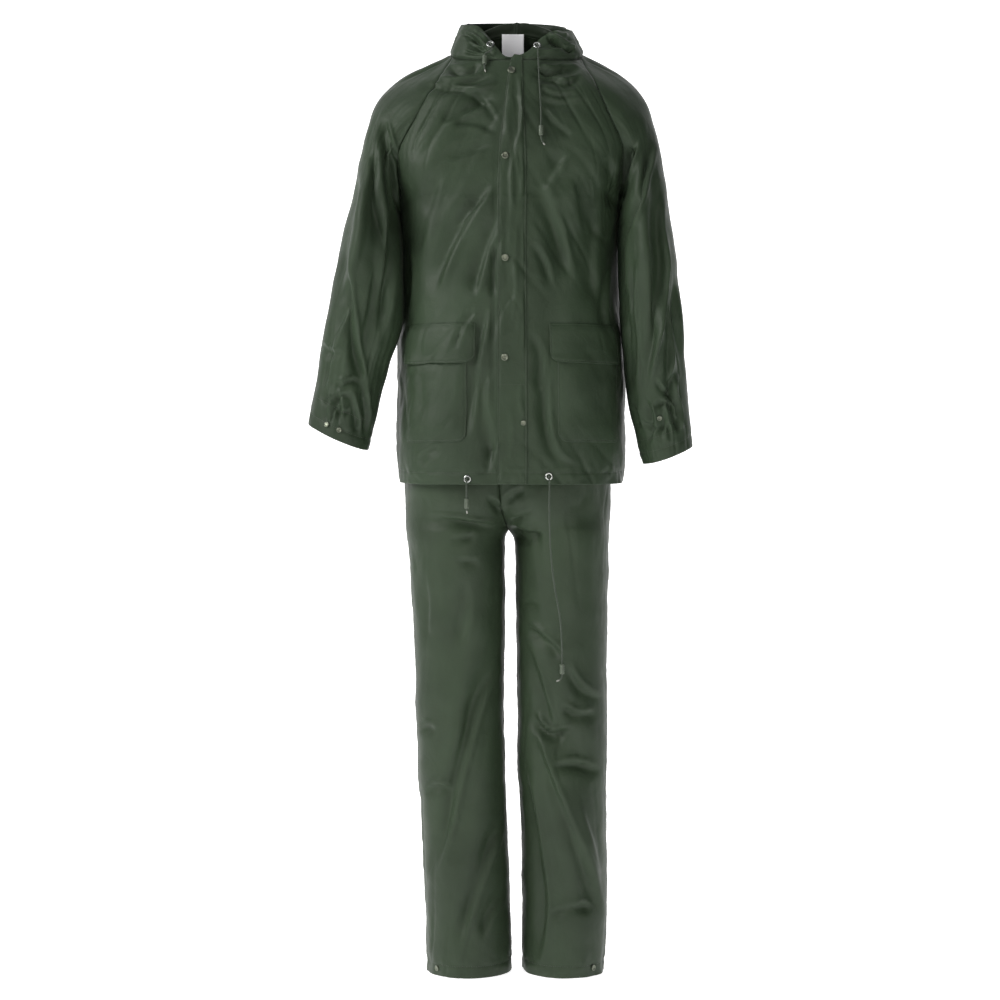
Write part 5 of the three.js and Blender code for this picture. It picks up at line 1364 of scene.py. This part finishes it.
def stitch_tree(material):
    """Geometry nodes that lay one row of short threads along each line of a mesh."""
    tree = bpy.data.node_groups.new("stitch rows", "GeometryNodeTree")
    for way in ("INPUT", "OUTPUT"):
        tree.interface.new_socket("Geometry", in_out=way, socket_type="NodeSocketGeometry")
    for label in ("Pitch", "Stitch Length", "Thread Radius"):
        tree.interface.new_socket(label, in_out="INPUT", socket_type="NodeSocketFloat").subtype = "DISTANCE"
    steps = Nodes(tree)
    source = steps.nodes.new("NodeGroupInput").outputs
    lines = steps.add("GeometryNodeMeshToCurve", {"Mesh": source["Geometry"]})
    inputs = {"Curve": lines, "Length": source["Pitch"]}
    places = steps.add("GeometryNodeCurveToPoints", inputs, "Points", mode="LENGTH")
    uneven = steps.add("FunctionNodeRandomValue", {2: 0.9, 3: 1.1, "Seed": 7}, 1, data_type="FLOAT")
    half = steps.add("ShaderNodeMath", {0: source["Stitch Length"], 1: 0.5}, operation="MULTIPLY")
    length = steps.add("ShaderNodeMath", {0: half, 1: uneven}, operation="MULTIPLY")
    thick = source["Thread Radius"]
    threads = steps.add("GeometryNodeInstanceOnPoints", {
        "Points": places, "Rotation": places.node.outputs["Rotation"],
        "Instance": steps.add("GeometryNodeMeshUVSphere", {"Segments": 6, "Rings": 4, "Radius": 1.0}),
        "Scale": steps.add("ShaderNodeCombineXYZ", {"X": thick, "Y": thick, "Z": length}),
    })
    for kind, more in (("RealizeInstances", {}), ("SetShadeSmooth", {}), ("SetMaterial", {"Material": material})):
        threads = steps.add("GeometryNode" + kind, {"Geometry": threads, **more})
    steps.links.new(threads, steps.nodes.new("NodeGroupOutput").inputs["Geometry"])
    return tree


def sew(name, lines, tree, values):
    """Runs the stitch tree along lines of millimetre points and keeps the result as a plain mesh."""
    verts, edges = [], []
    for line in lines:
        first = len(verts)
        verts += [tuple(p) for p in np.asarray(line) * MM]
        edges += [(first + k, first + k + 1) for k in range(len(line) - 1)]
    guide_mesh = bpy.data.meshes.new(name + "_guide")
    guide_mesh.from_pydata(verts, edges, [])
    guide = link(name + "_guide", guide_mesh)
    modifier = guide.modifiers.new("stitches", "NODES")
    modifier.node_group = tree
    for item in tree.interface.items_tree:
        if item.in_out == "INPUT" and item.name in values:
            modifier[item.identifier] = values[item.name]
    mesh = bpy.data.meshes.new_from_object(guide.evaluated_get(bpy.context.evaluated_depsgraph_get()))
    mesh.name = name
    obj = link(name, mesh)
    guide.modifiers.remove(modifier)
    bpy.data.objects.remove(guide)
    bpy.data.meshes.remove(guide_mesh)
    return obj


# Pieces of cloth

SEWN = {
    "jacket": ("top", "start", "end"),
    "sleeve_right": ("bottom",),
    "sleeve_left": ("bottom",),
    "hood": ("bottom", "start", "end"),
    "trousers": ("bottom", "start", "end"),
}


def drawn_back(points, edges, gap=0.03):
    """Points of a panel with its sewn edges a hair's breadth inside the seam."""
    points = points.copy()
    for edge in edges:
        grid = points if edge in ("bottom", "top") else points.transpose(1, 0, 2)
        k, n = (0, 1) if edge in ("bottom", "start") else (-1, -2)
        grid[k] += unit(grid[n] - grid[k]) * gap
    return points


def make_panel(name, kind):
    """One panel of the shell as cloth, in place of its CAD node."""
    sizes = bpy.context.scene.rain_suit_sizes
    panel = suit_panels()[name]
    band = name == "trouser_waistband"
    wall = np.full(panel.points.shape[:2], (BAND_LAYERS if band else 1.0) * sizes.cloth / MM)
    if not band:
        wall += HEM_EXTRA * (1 - smooth_step((hem_distance(panel) - HEM_DEPTH + 2) / 3))
    edges = ("bottom",) if band else SEWN[panel.garment]
    outer = drawn_back(panel.points, edges)
    inner = drawn_back(panel.points - panel.normals * wall[..., None], edges)
    obj = cloth_shell("cloth_" + name, outer, inner, panel.faces, panel.closed, panel.seam)
    place_piece(obj, kind, name)


def corner_cut(x, radius):
    """How far a rounded corner lies in from a straight edge, at a distance from its side."""
    inside = np.clip(radius - x, 0, radius)
    return radius - np.sqrt(np.maximum(radius**2 - inside**2, 0))


def patch_rows(low, high, near, far, width, radii, step=3.2, ends=(0.3, 1.0, 2.0, 3.0, 4.2, 6.0)):
    """Row and column values of a rectangle of cloth, and each point's distance from its edge in millimetres.

    radii are those of its lower near, lower far, upper near and upper far corners.
    """
    height = high - low
    extra = [e / width for e in ends]
    across = with_edges(max(4, round(width / step)), start=extra, end=extra)
    extra = [e / height for e in ends]
    up = with_edges(max(4, round(height / step)), start=extra, end=extra)
    x = across * width
    bottom = low + np.maximum(corner_cut(x, radii[0]), corner_cut(width - x, radii[1]))
    top = high - np.maximum(corner_cut(x, radii[2]), corner_cut(width - x, radii[3]))
    rows = bottom[None] + (top - bottom)[None] * up[:, None]
    cols = np.broadcast_to(near + (far - near) * across, rows.shape)
    edge = np.minimum(np.minimum(x, width - x)[None], np.minimum(rows - bottom[None], top[None] - rows))
    return rows, cols, edge


def overlay(name, place, rows, cols, edge, lift, faces, thick=1.3):
    """A piece of cloth that lies on the fronts, with a sewn line near its edge."""
    points, normals = place(rows, cols)
    soft = 0.35 * smooth_step(edge / 9) - 0.3 * np.exp(-(((edge - STITCH_INSET) / 1.1) ** 2))
    lift = lift + np.maximum(soft, -0.25) + 0.12 * ripple(points, 11, 12) * np.exp(-((edge / 8) ** 2))
    inner = points + normals * np.maximum(lift, 0.3)[..., None]
    rim = thick - 0.45 * np.exp(-((edge / 0.5) ** 2))
    outer = inner + normals * rim[..., None]
    obj = cloth_shell("cloth_" + name, outer, inner, faces, False, np.maximum(edge, 1.2) + 1.2)
    place_piece(obj, "jacket", name)
    STATE.setdefault("overlays", {})[name] = (outer, normals)


LAY_GAP = 0.35


# Patches on each front: lowest and highest row, columns from and to, row that its width is taken at, corners' radii
PATCHES = {
    "pocket_": (-679.0, -501.0, 0.21, 0.68, -600, (16, 10, 0.1, 0.1)),
    "pocket_flap_": (-545.0, -477.0, 0.17, 0.68, -520, (17, 8, 2, 2)),
}


def patch_grid(kind, side):
    panel = suit_panels()["jacket_front_" + side]
    low, high, near, far, level, radii = PATCHES[kind]
    across = panel.at(np.full(60, level), np.linspace(near, far, 60))[0]
    width = float(np.linalg.norm(np.diff(across, axis=0), axis=-1).sum())
    return panel, patch_rows(low, high, near, far, width, radii)


def flap_lift(side, rows, cols):
    over = 2 * LAY_GAP + 1.6
    lift = np.interp(rows, [-545, -530, -501, -489, -477], [over + 4, over + 1.8, over + 0.7, over + 0.3, LAY_GAP])
    wave = np.sin(cols * 23 + (0 if side == "right" else 1.3))
    return lift + 0.9 * wave * smooth_step((-505 - rows) / 40)


def storm_rows():
    return patch_rows(BODY["z"][0] + 0.6, NECK_ROW, -STORM_HALF, STORM_HALF, STORM_WIDTH, (1, 1, 0.1, 0.1), 3.0)


# Creases of the storm flap: half width, height and path, as for the shell
STORM_CREASES = (
    (2.2, 3.4, 519, 72, 523, 110, 517, 150, 521, 190), (1.8, -2.2, 515, 70, 516, 100, 519, 128, 516, 150),
    (2, 2.2, 514, 150, 511, 180, 514, 216), (2, 2.4, 521, 150, 523, 176, 520, 205),
    (2, 2, 513, 250, 516, 290, 512, 330), (1.8, 2.2, 522, 285, 524, 325, 521, 365),
    (2.2, -1.6, 507, 195, 506, 250, 508, 300), (3, 1.8, 511, 78, 509, 120, 513, 170, 510, 240),
    (1.8, 1.6, 524, 90, 521, 140, 525, 180), (2.2, 1.2, 504, 96, 507, 140, 504, 176),
    (3, 1.8, 519, 205, 516, 260, 520, 310, 517, 360), (2, 1.4, 523, 225, 525, 270),
    (3, 1.6, 509, 400, 513, 430, 509, 470), (2.2, 2, 523, 376, 520, 396, 524, 420),
)


def make_storm_flap():
    rows, cols, edge = storm_rows()
    points, _ = storm_at(rows, cols)
    seen = seen_at(points).reshape(-1, 2)
    lift = np.full(rows.shape, LAY_GAP)
    for width, height, *path in STORM_CREASES:
        signed, along = along_path(seen, drawn_line(path))
        bend = np.exp(-((signed / width) ** 2)) * taper_of(along) * height
        lift = lift + bend.reshape(rows.shape) * smooth_step((edge - 2.2) / 4)
    lift = lift + 0.5 * (1 + ripple(points, 34, 21)) * smooth_step((edge - 3) / 6)
    free = np.clip((0.02 - cols) / 0.083, 0, 1) ** 3  # its free edge, on the right
    lift = lift + free * (0.7 + 0.6 * ripple(points, 70, 22))

    def place(r, c):
        p, n = storm_at(r, c)
        share = (c + STORM_HALF) / (2 * STORM_HALF)
        rise = np.interp(share, [0, 0.06, 0.16, 0.34, 0.6, 1], [-5, -1.5, 3.5, 8, 7.5, 6])
        step = np.clip((r - (NECK_ROW - 6)) / 6, 0, 1) * rise
        p = p.copy()
        p[..., 2] += step
        p[..., 1] += np.maximum(step, 0) * 0.25
        return p, n

    overlay("storm_flap", place, rows, cols, edge, lift, -1)


# Trims

def seat_height(points, place, normal, radius):
    """How far the cloth round a place reaches out of it."""
    flat = points.reshape(-1, 3) - place
    up = flat @ normal
    aside = np.linalg.norm(flat - up[:, None] * normal, axis=-1)
    near = (aside < radius + 1.5) & (np.abs(up) < 8)
    return float(up[near].max()) if near.any() else 0.0


def snap_profile(radius):
    shape = ((0, 0), (0.96, 0), (1, 0.35), (1, 1.05), (0.95, 1.5), (0.87, 1.75), (0.78, 1.8), (0.68, 1.62))
    shape += ((0.6, 1.34), (0.42, 1.24), (0.2, 1.3), (0, 1.32))
    return [(r * radius, h) for r, h in shape]


EYELET_PROFILE = [
    (3.4, 0), (6.5, 0), (EYELET_RADIUS, 0.35), (6.5, 0.8), (6.1, 1.2), (5.5, 1.5), (4.8, 1.6), (4.1, 1.45),
    (3.6, 1.05), (3.4, 0.5), (3.4, 0),
]


def barrel_profile(length):
    profile = [(1.9, 0), (2.7, 0), (3.4, 0.3), (3.9, 1.0), (4.0, 1.6)]
    for k in range(1, 4):
        middle = 1.6 + (length - 3.2) * k / 4
        profile += [(4.0, middle - 0.7), (3.55, middle - 0.3), (3.55, middle + 0.3), (4.0, middle + 0.7)]
    profile += [(4.0, length - 1.6), (3.9, length - 1.0), (3.4, length - 0.3), (2.7, length), (1.9, length), (1.9, 0)]
    return profile


def storm_place(z, across):
    """A place on the storm flap's outside at a height, and its direction out."""
    col = across * STORM_HALF
    return storm_at(row_at_height(storm_at, col, BODY["z"][0], NECK_ROW, z), col)


# On the storm flap: height, share of half its width to the left, and radius
FLAP_SNAPS = {
    "snap_1": (-43, -0.55, 6.5), "snap_2": (-192, -0.55, 6), "snap_3": (-367, -0.5, 6), "snap_4": (-536, -0.5, 6),
    "snap_5": (-647, 0.72, 4.5),
}
# On a panel: its name, row and column, and the snap's radius
CLOTH_SNAPS = {
    "cuff_snap_right_1": ("sleeve_right", 11.2, 5.6 / 18, 4.5),
    "cuff_snap_right_2": ("sleeve_right", 11.2, 4.4 / 18, 4.5),
    "cuff_snap_left": ("sleeve_left", 10.05, 4.0 / 18, 4.5),
    "hem_snap_right": ("trouser_right_front", 1583.25, 0.221, 5),
    "hem_snap_left": ("trouser_left_front", 1581.7, 0.247, 5),
}
# Place, direction out, and the panel under it
EYELETS = {
    "hood_eyelet_right": (-35.71, -64.37, 7.95, -0.041, -0.897, 0.440, "hood_right"),
    "hood_eyelet_left": (44.69, -66.80, 5.66, 0.012, -0.859, 0.512, "hood_left"),
    "hem_eyelet_right": (-74.12, -144.33, -741.48, -0.215, -0.977, 0.004, "jacket_front_right"),
    "hem_eyelet_left": (63.61, -146.58, -737.24, 0.110, -0.994, 0.016, "jacket_front_left"),
}


def make_snap(name, cloth, point, normal, radius):
    lift = seat_height(cloth, point, normal, radius) + 0.12
    obj = lathe("trim_" + name, snap_profile(radius), 32, point + normal * lift, normal)
    set_edges(obj, 55)
    place_piece(obj, "snap", name)


# Operators

class RainSuitOperator:
    """What the makers share. Those that only make panels of the shell name them."""

    bl_options = {"REGISTER", "UNDO"}
    kind, panels = "jacket", ()

    def make(self, context):
        for name in self.panels:
            make_panel(name, self.kind)

    def execute(self, context):
        self.make(context)
        return {"FINISHED"}


# Backdrop: distance out and height in metres of the paper as it turns up
PAPER_TURN = ((4.2, 0), (7.0, 0), (8.0, 0.15), (8.7, 0.6), (9.0, 1.4), (9.0, 14))


class RAINSUIT_OT_stage(RainSuitOperator, Operator):
    """Makes the camera, the soft lights, the pale floor and the backdrop"""

    bl_idname = "rain_suit.stage"
    bl_label = "Stage, Lights and Camera"

    def make(self, context):
        scene, sizes = context.scene, context.scene.rain_suit_sizes
        camera = link("camera", bpy.data.cameras.new("camera"))
        camera.location = [c * MM for c in CAMERA_PLACE]
        camera.rotation_euler = (math.pi / 2, 0, 0)
        camera.data.sensor_width = SENSOR
        camera.data.lens = SENSOR * -CAMERA_PLACE[1] / (PIXEL * 1000)
        scene.camera = camera
        scene.view_settings.view_transform = "Standard"
        for label, place, aim, size, power, colour in (
            ("key", (-3.3, -1.9, 1.5), (0, 0, -0.75), 2.2, sizes.key_light, (1.0, 0.99, 0.97)),
            ("fill", (0.9, -3.7, -0.3), (0, 0, -0.9), 2.0, sizes.fill_light, (1.0, 0.97, 0.9)),
            ("top", (0.3, 0.2, 2.2), (0, 0, -0.4), 1.8, sizes.top_light, (1.0, 1.0, 1.0)),
        ):
            light = link(label, bpy.data.lights.new(label, "AREA"))
            light.data.energy, light.data.size, light.data.color = power, size, colour
            light.location = place
            light.rotation_euler = (Vector(aim) - Vector(place)).to_track_quat("-Z", "Y").to_euler()
        scene.world = bpy.data.worlds.new("pale room")
        scene.world.use_nodes = True
        sky = scene.world.node_tree.nodes["Background"].inputs
        sky["Color"].default_value, sky["Strength"].default_value = (0.93, 0.95, 1.0, 1), 0.12
        floor_z = FRAME_BOX[0][2] - 0.001
        material = pale_paper()
        for name, turn, start, end, shines in (
            ("backdrop_floor", ((0.001, 0), (4.2, 0)), 0, 360, True),
            ("backdrop_behind", PAPER_TURN, 30, 150, True), ("backdrop_round", PAPER_TURN, 150, 390, False),
        ):
            angles, wide = np.radians(np.arange(start, end + 1, 6)), len(turn)
            verts = [
                (1000 * r * math.cos(a), 1000 * r * math.sin(a), 1000 * (floor_z + z))
                for a in angles for r, z in turn
            ]
            faces = [
                (k * wide + j, k * wide + j + 1, (k + 1) * wide + j + 1, (k + 1) * wide + j)
                for k in range(len(angles) - 1) for j in range(wide - 1)
            ]
            sweep = mesh_object(name, verts, faces)
            sweep.data.materials.append(material)
            sweep.visible_diffuse = sweep.visible_glossy = shines


class RAINSUIT_OT_cords(RainSuitOperator, Operator):
    """Makes the drawstrings of the hood and the jacket's hem, with their barrels"""

    bl_idname = "rain_suit.cords"
    bl_label = "Drawstrings"

    def make(self, context):
        tip_plastic = moulded_plastic("sealed cord end", TIP_COLOUR)
        for name, line in cord_lines().items():
            top, bottom = (np.array(end) for end in CORDS[name][1])
            barrel_name = name.replace("cord", "barrel")
            length = float(np.linalg.norm(bottom - top))
            barrel = lathe("trim_" + barrel_name, barrel_profile(length), 32, top, bottom - top)
            set_edges(barrel, 35)
            place_piece(barrel, "barrel", barrel_name)
            radii = np.full(len(line), CORD_RADIUS)
            radii[-1] *= 0.7
            obj = tube("cord_" + name, line, radii, CORD_SIDES)
            place_piece(obj, "cord", name)
            obj.data.materials.append(tip_plastic)
            run = run_of(line)
            index = np.zeros(len(obj.data.polygons), np.int32)
            tip, end = int(np.argmax(run > run[-1] - TIP_LENGTH)), (len(line) - 1) * CORD_SIDES
            index[tip * CORD_SIDES : end] = 1
            index[end + 1 :: 2] = 1
            obj.data.polygons.foreach_set("material_index", index)


class RAINSUIT_OT_jacket(RainSuitOperator, Operator):
    """Makes the jacket's two fronts and its back"""

    bl_idname = "rain_suit.jacket"
    bl_label = "Jacket Body"
    panels = ("jacket_front_right", "jacket_front_left", "jacket_back")


class RAINSUIT_OT_sleeves(RainSuitOperator, Operator):
    """Makes the two raglan sleeves"""

    bl_idname = "rain_suit.sleeves"
    bl_label = "Sleeves"
    panels = ("sleeve_right", "sleeve_left")


class RAINSUIT_OT_hood(RainSuitOperator, Operator):
    """Makes the two halves of the hood, which lies open behind the neck"""

    bl_idname = "rain_suit.hood"
    bl_label = "Hood"
    panels = ("hood_right", "hood_left")


class RAINSUIT_OT_trousers(RainSuitOperator, Operator):
    """Makes the four leg panels and the elastic waistband"""

    bl_idname = "rain_suit.trousers"
    bl_label = "Trousers"
    kind = "trousers"
    panels = (
        "trouser_right_front", "trouser_right_back", "trouser_left_front", "trouser_left_back", "trouser_waistband",
    )


class RAINSUIT_OT_pockets(RainSuitOperator, Operator):
    """Makes the two patch pockets and their flaps"""

    bl_idname = "rain_suit.pockets"
    bl_label = "Pockets and Flaps"

    def make(self, context):
        for side in SIDES:
            panel, (rows, cols, edge) = patch_grid("pocket_", side)
            bulge = 1.6 * smooth_step(edge / 30) * (1 + 0.4 * ripple(panel.at(rows, cols)[0], 60, 31))
            lift = LAY_GAP + bulge * (1 - smooth_step((rows + 560) / 30))
            overlay("pocket_" + side, panel.at, rows, cols, edge, lift, TURN[side], 1.2)
            panel, (rows, cols, edge) = patch_grid("pocket_flap_", side)
            lift = flap_lift(side, rows, cols)
            overlay("pocket_flap_" + side, panel.at, rows, cols, edge, lift, TURN[side], 1.4)


class RAINSUIT_OT_storm_flap(RainSuitOperator, Operator):
    """Makes the storm flap over the front closure"""

    bl_idname = "rain_suit.storm_flap"
    bl_label = "Storm Flap"

    def make(self, context):
        make_storm_flap()


class RAINSUIT_OT_snaps(RainSuitOperator, Operator):
    """Makes the snaps of the flap, the cuffs and the trouser hems"""

    bl_idname = "rain_suit.snaps"
    bl_label = "Snaps"

    def make(self, context):
        flap = STATE["overlays"]["storm_flap"][0]
        for name, (z, across, radius) in FLAP_SNAPS.items():
            make_snap(name, flap, *storm_place(z, across), radius)
        for name, (panel_name, row, col, radius) in CLOTH_SNAPS.items():
            panel = suit_panels()[panel_name]
            make_snap(name, panel.points, *panel.at(row, col), radius)


class RAINSUIT_OT_eyelets(RainSuitOperator, Operator):
    """Makes the eyelets that the drawstrings leave by"""

    bl_idname = "rain_suit.eyelets"
    bl_label = "Eyelets"

    def make(self, context):
        for name, (*numbers, on) in EYELETS.items():
            point, normal = np.array(numbers[:3]), unit(np.array(numbers[3:]))
            lift = seat_height(suit_panels()[on].points, point, normal, EYELET_RADIUS) - 0.15
            obj = lathe("trim_" + name, EYELET_PROFILE, 36, point + normal * lift, normal)
            place_piece(obj, "eyelet", name)


class RAINSUIT_OT_label(RainSuitOperator, Operator):
    """Makes the bare ribbon label inside the neck"""

    bl_idname = "rain_suit.label"
    bl_label = "Neck Label"

    def make(self, context):
        x, z = np.meshgrid(np.linspace(-15.5, 23.5, 27), np.linspace(6, 52, 31))
        y = 71.2 - 0.35 * np.sin((x + 15.5) / 39 * math.pi * 2.2) - 0.3 * np.cos(z / 9)
        outer = points_of(x, y - 0.4, z)
        inner = points_of(x, y + 0.1, z)
        obj = cloth_shell("cloth_neck_label", outer, inner, 1)
        place_piece(obj, "label", "neck_label")


class RAINSUIT_OT_stitches(RainSuitOperator, Operator):
    """Sews the rows of stitches along the flap, the pockets, the hems and the hood"""

    bl_idname = "rain_suit.stitches"
    bl_label = "Stitches"

    def make(self, context):
        sizes = context.scene.rain_suit_sizes
        tree = stitch_tree(finish("thread"))
        values = {"Pitch": sizes.pitch, "Stitch Length": sizes.stitch, "Thread Radius": sizes.thread}
        place_piece(sew("stitches", stitch_lines(), tree, values), "thread")


def edge_line(outer, normals, inset):
    """A line on an overlay's outside, a distance in from its sides and bottom."""
    rows = list(range(outer.shape[0]))
    up = run_of(outer[:, outer.shape[1] // 2])
    across = run_of(outer[outer.shape[0] // 2])
    i = int(np.searchsorted(up, inset))
    j, k = int(np.searchsorted(across, inset)), int(np.searchsorted(across, across[-1] - inset)) - 1
    path = [(r, j) for r in reversed(rows[i:])] + [(i, c) for c in range(j, k + 1)] + [(r, k) for r in rows[i:]]
    a, b = np.array(path).T
    return outer[a, b] + normals[a, b] * THREAD_LIFT


def stitch_lines():
    panels = suit_panels()
    lines = []
    for side in SIDES:
        for name in ("pocket_", "pocket_flap_"):
            outer, normals = STATE["overlays"][name + side]
            lines.append(edge_line(outer, normals, STITCH_INSET))
    outer, normals = STATE["overlays"]["storm_flap"]
    across = run_of(outer[40])
    for inset in (STITCH_INSET, across[-1] - STITCH_INSET):
        j = int(np.argmin(np.abs(across - inset)))
        lines.append(outer[2:-2, j] + normals[2:-2, j] * THREAD_LIFT)
    k = int(np.argmin(np.abs(seen_at(outer[:, outer.shape[1] // 3])[:, 1] - 384)))
    cut = slice(2, outer.shape[1] * 5 // 6)
    lines.append(outer[k, cut] + normals[k, cut] * THREAD_LIFT)

    def row_line(name, distance, edge, low=0.0, high=1.0):
        panel = panels[name]
        run = panel.from_edge(edge)
        line = []
        for j in range(int(len(panel.columns) * low), int(len(panel.columns) * high)):
            order = np.argsort(run[:, j])
            at = np.interp(distance, run[order, j], panel.rows[order])
            point, normal = panel.at(at, panel.columns[j])
            line.append(point + normal * 0.1)
        return np.array(line)

    for name in ("jacket_front_right", "jacket_front_left", "jacket_back"):
        lines.append(row_line(name, HEM_DEPTH, "bottom", 0.0, 0.995))
    for side in SIDES:
        lines.append(row_line("sleeve_" + side, 52 if side == "right" else 42, "top"))
        lines.append(row_line("sleeve_" + side, HEM_DEPTH, "top"))
        lines.append(row_line("hood_" + side, HEM_DEPTH, "top", 0.03, 0.99))
        for face in ("front", "back"):
            lines.append(row_line(f"trouser_{side}_{face}", HEM_DEPTH, "top", 0.01, 0.99))
    return lines


# Settings, panel and the whole suit

def length_of(name, description, default, least, most):
    return FloatProperty(
        name=name, description=description, default=default, min=least, max=most, unit="LENGTH", subtype="DISTANCE"
    )


def power_of(name, description, default):
    return FloatProperty(name=name, description=description, default=default, min=0, unit="POWER")


class RainSuitSizes(PropertyGroup):
    cloth: length_of("Cloth", "Thickness of the coated cloth", 0.0012, 0.0008, 0.0016)
    crease_strength: FloatProperty(
        name="Creases", description="How deep the creases are", default=2.2, min=0, max=3, subtype="FACTOR"
    )
    pitch: length_of("Stitch Pitch", "Distance from one stitch to the next", 0.0042, 0.002, 0.01)
    stitch: length_of("Stitch Length", "Length of each stitch", 0.0031, 0.001, 0.008)
    thread: length_of("Thread", "Radius of the sewing thread", 0.00036, 0.0001, 0.001)
    key_light: power_of("Key Light", "Power of the large light on the wearer's right", 148)
    fill_light: power_of("Fill Light", "Power of the light on the wearer's left", 27)
    top_light: power_of("Top Light", "Power of the light overhead", 8)


def colour_of(name, description, value):
    return FloatVectorProperty(
        name=name, description=description, default=(*value, 1.0), size=4, min=0, max=1, subtype="COLOR"
    )


class RainSuitColours(PropertyGroup):
    jacket: colour_of("Jacket", "Coat of the jacket's cloth", (0.027, 0.044, 0.0235))
    trousers: colour_of("Trousers", "Coat of the trousers' cloth", (0.027, 0.043, 0.0230))
    snaps: colour_of("Snaps", "Dulled metal of the snaps", (0.20, 0.22, 0.17))
    eyelets: colour_of("Eyelets", "Bright metal of the eyelets", (0.55, 0.57, 0.55))
    cords: colour_of("Cords", "Yarn of the drawstrings", (0.045, 0.062, 0.042))
    barrels: colour_of("Barrels", "Plastic of the drawstrings' barrels", (0.10, 0.125, 0.09))
    thread: colour_of("Thread", "Sewing thread", (0.075, 0.095, 0.066))
    label: colour_of("Label", "Ribbon of the neck label", (0.9, 0.9, 0.94))


MAKERS = (
    RAINSUIT_OT_stage, RAINSUIT_OT_cords, RAINSUIT_OT_jacket, RAINSUIT_OT_sleeves, RAINSUIT_OT_hood,
    RAINSUIT_OT_trousers, RAINSUIT_OT_pockets, RAINSUIT_OT_storm_flap, RAINSUIT_OT_snaps, RAINSUIT_OT_eyelets,
    RAINSUIT_OT_label, RAINSUIT_OT_stitches,
)


class RAINSUIT_PT_makers(Panel):
    """Sizes and colours of the rain suit, and the steps that make it"""

    bl_idname = "RAINSUIT_PT_makers"
    bl_label = "Rain Suit"
    bl_space_type = "VIEW_3D"
    bl_region_type = "UI"
    bl_category = "Rain Suit"

    def draw(self, context):
        for group in (context.scene.rain_suit_sizes, context.scene.rain_suit_colours):
            box = self.layout.box()
            for key in group.bl_rna.properties.keys():
                if key not in ("rna_type", "name"):
                    box.prop(group, key)
        for maker in MAKERS:
            self.layout.operator(maker.bl_idname)


CLASSES = (RainSuitSizes, RainSuitColours, *MAKERS, RAINSUIT_PT_makers)


def register():
    for cls in CLASSES:
        bpy.utils.register_class(cls)
    bpy.types.Scene.rain_suit_sizes = PointerProperty(type=RainSuitSizes)
    bpy.types.Scene.rain_suit_colours = PointerProperty(type=RainSuitColours)


def unregister():
    del bpy.types.Scene.rain_suit_colours
    del bpy.types.Scene.rain_suit_sizes
    for cls in reversed(CLASSES):
        bpy.utils.unregister_class(cls)


def main():
    register()
    for maker in MAKERS:
        group, step = maker.bl_idname.split(".")
        getattr(getattr(bpy.ops, group), step)()
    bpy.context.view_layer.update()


if __name__ == "__main__":
    main()
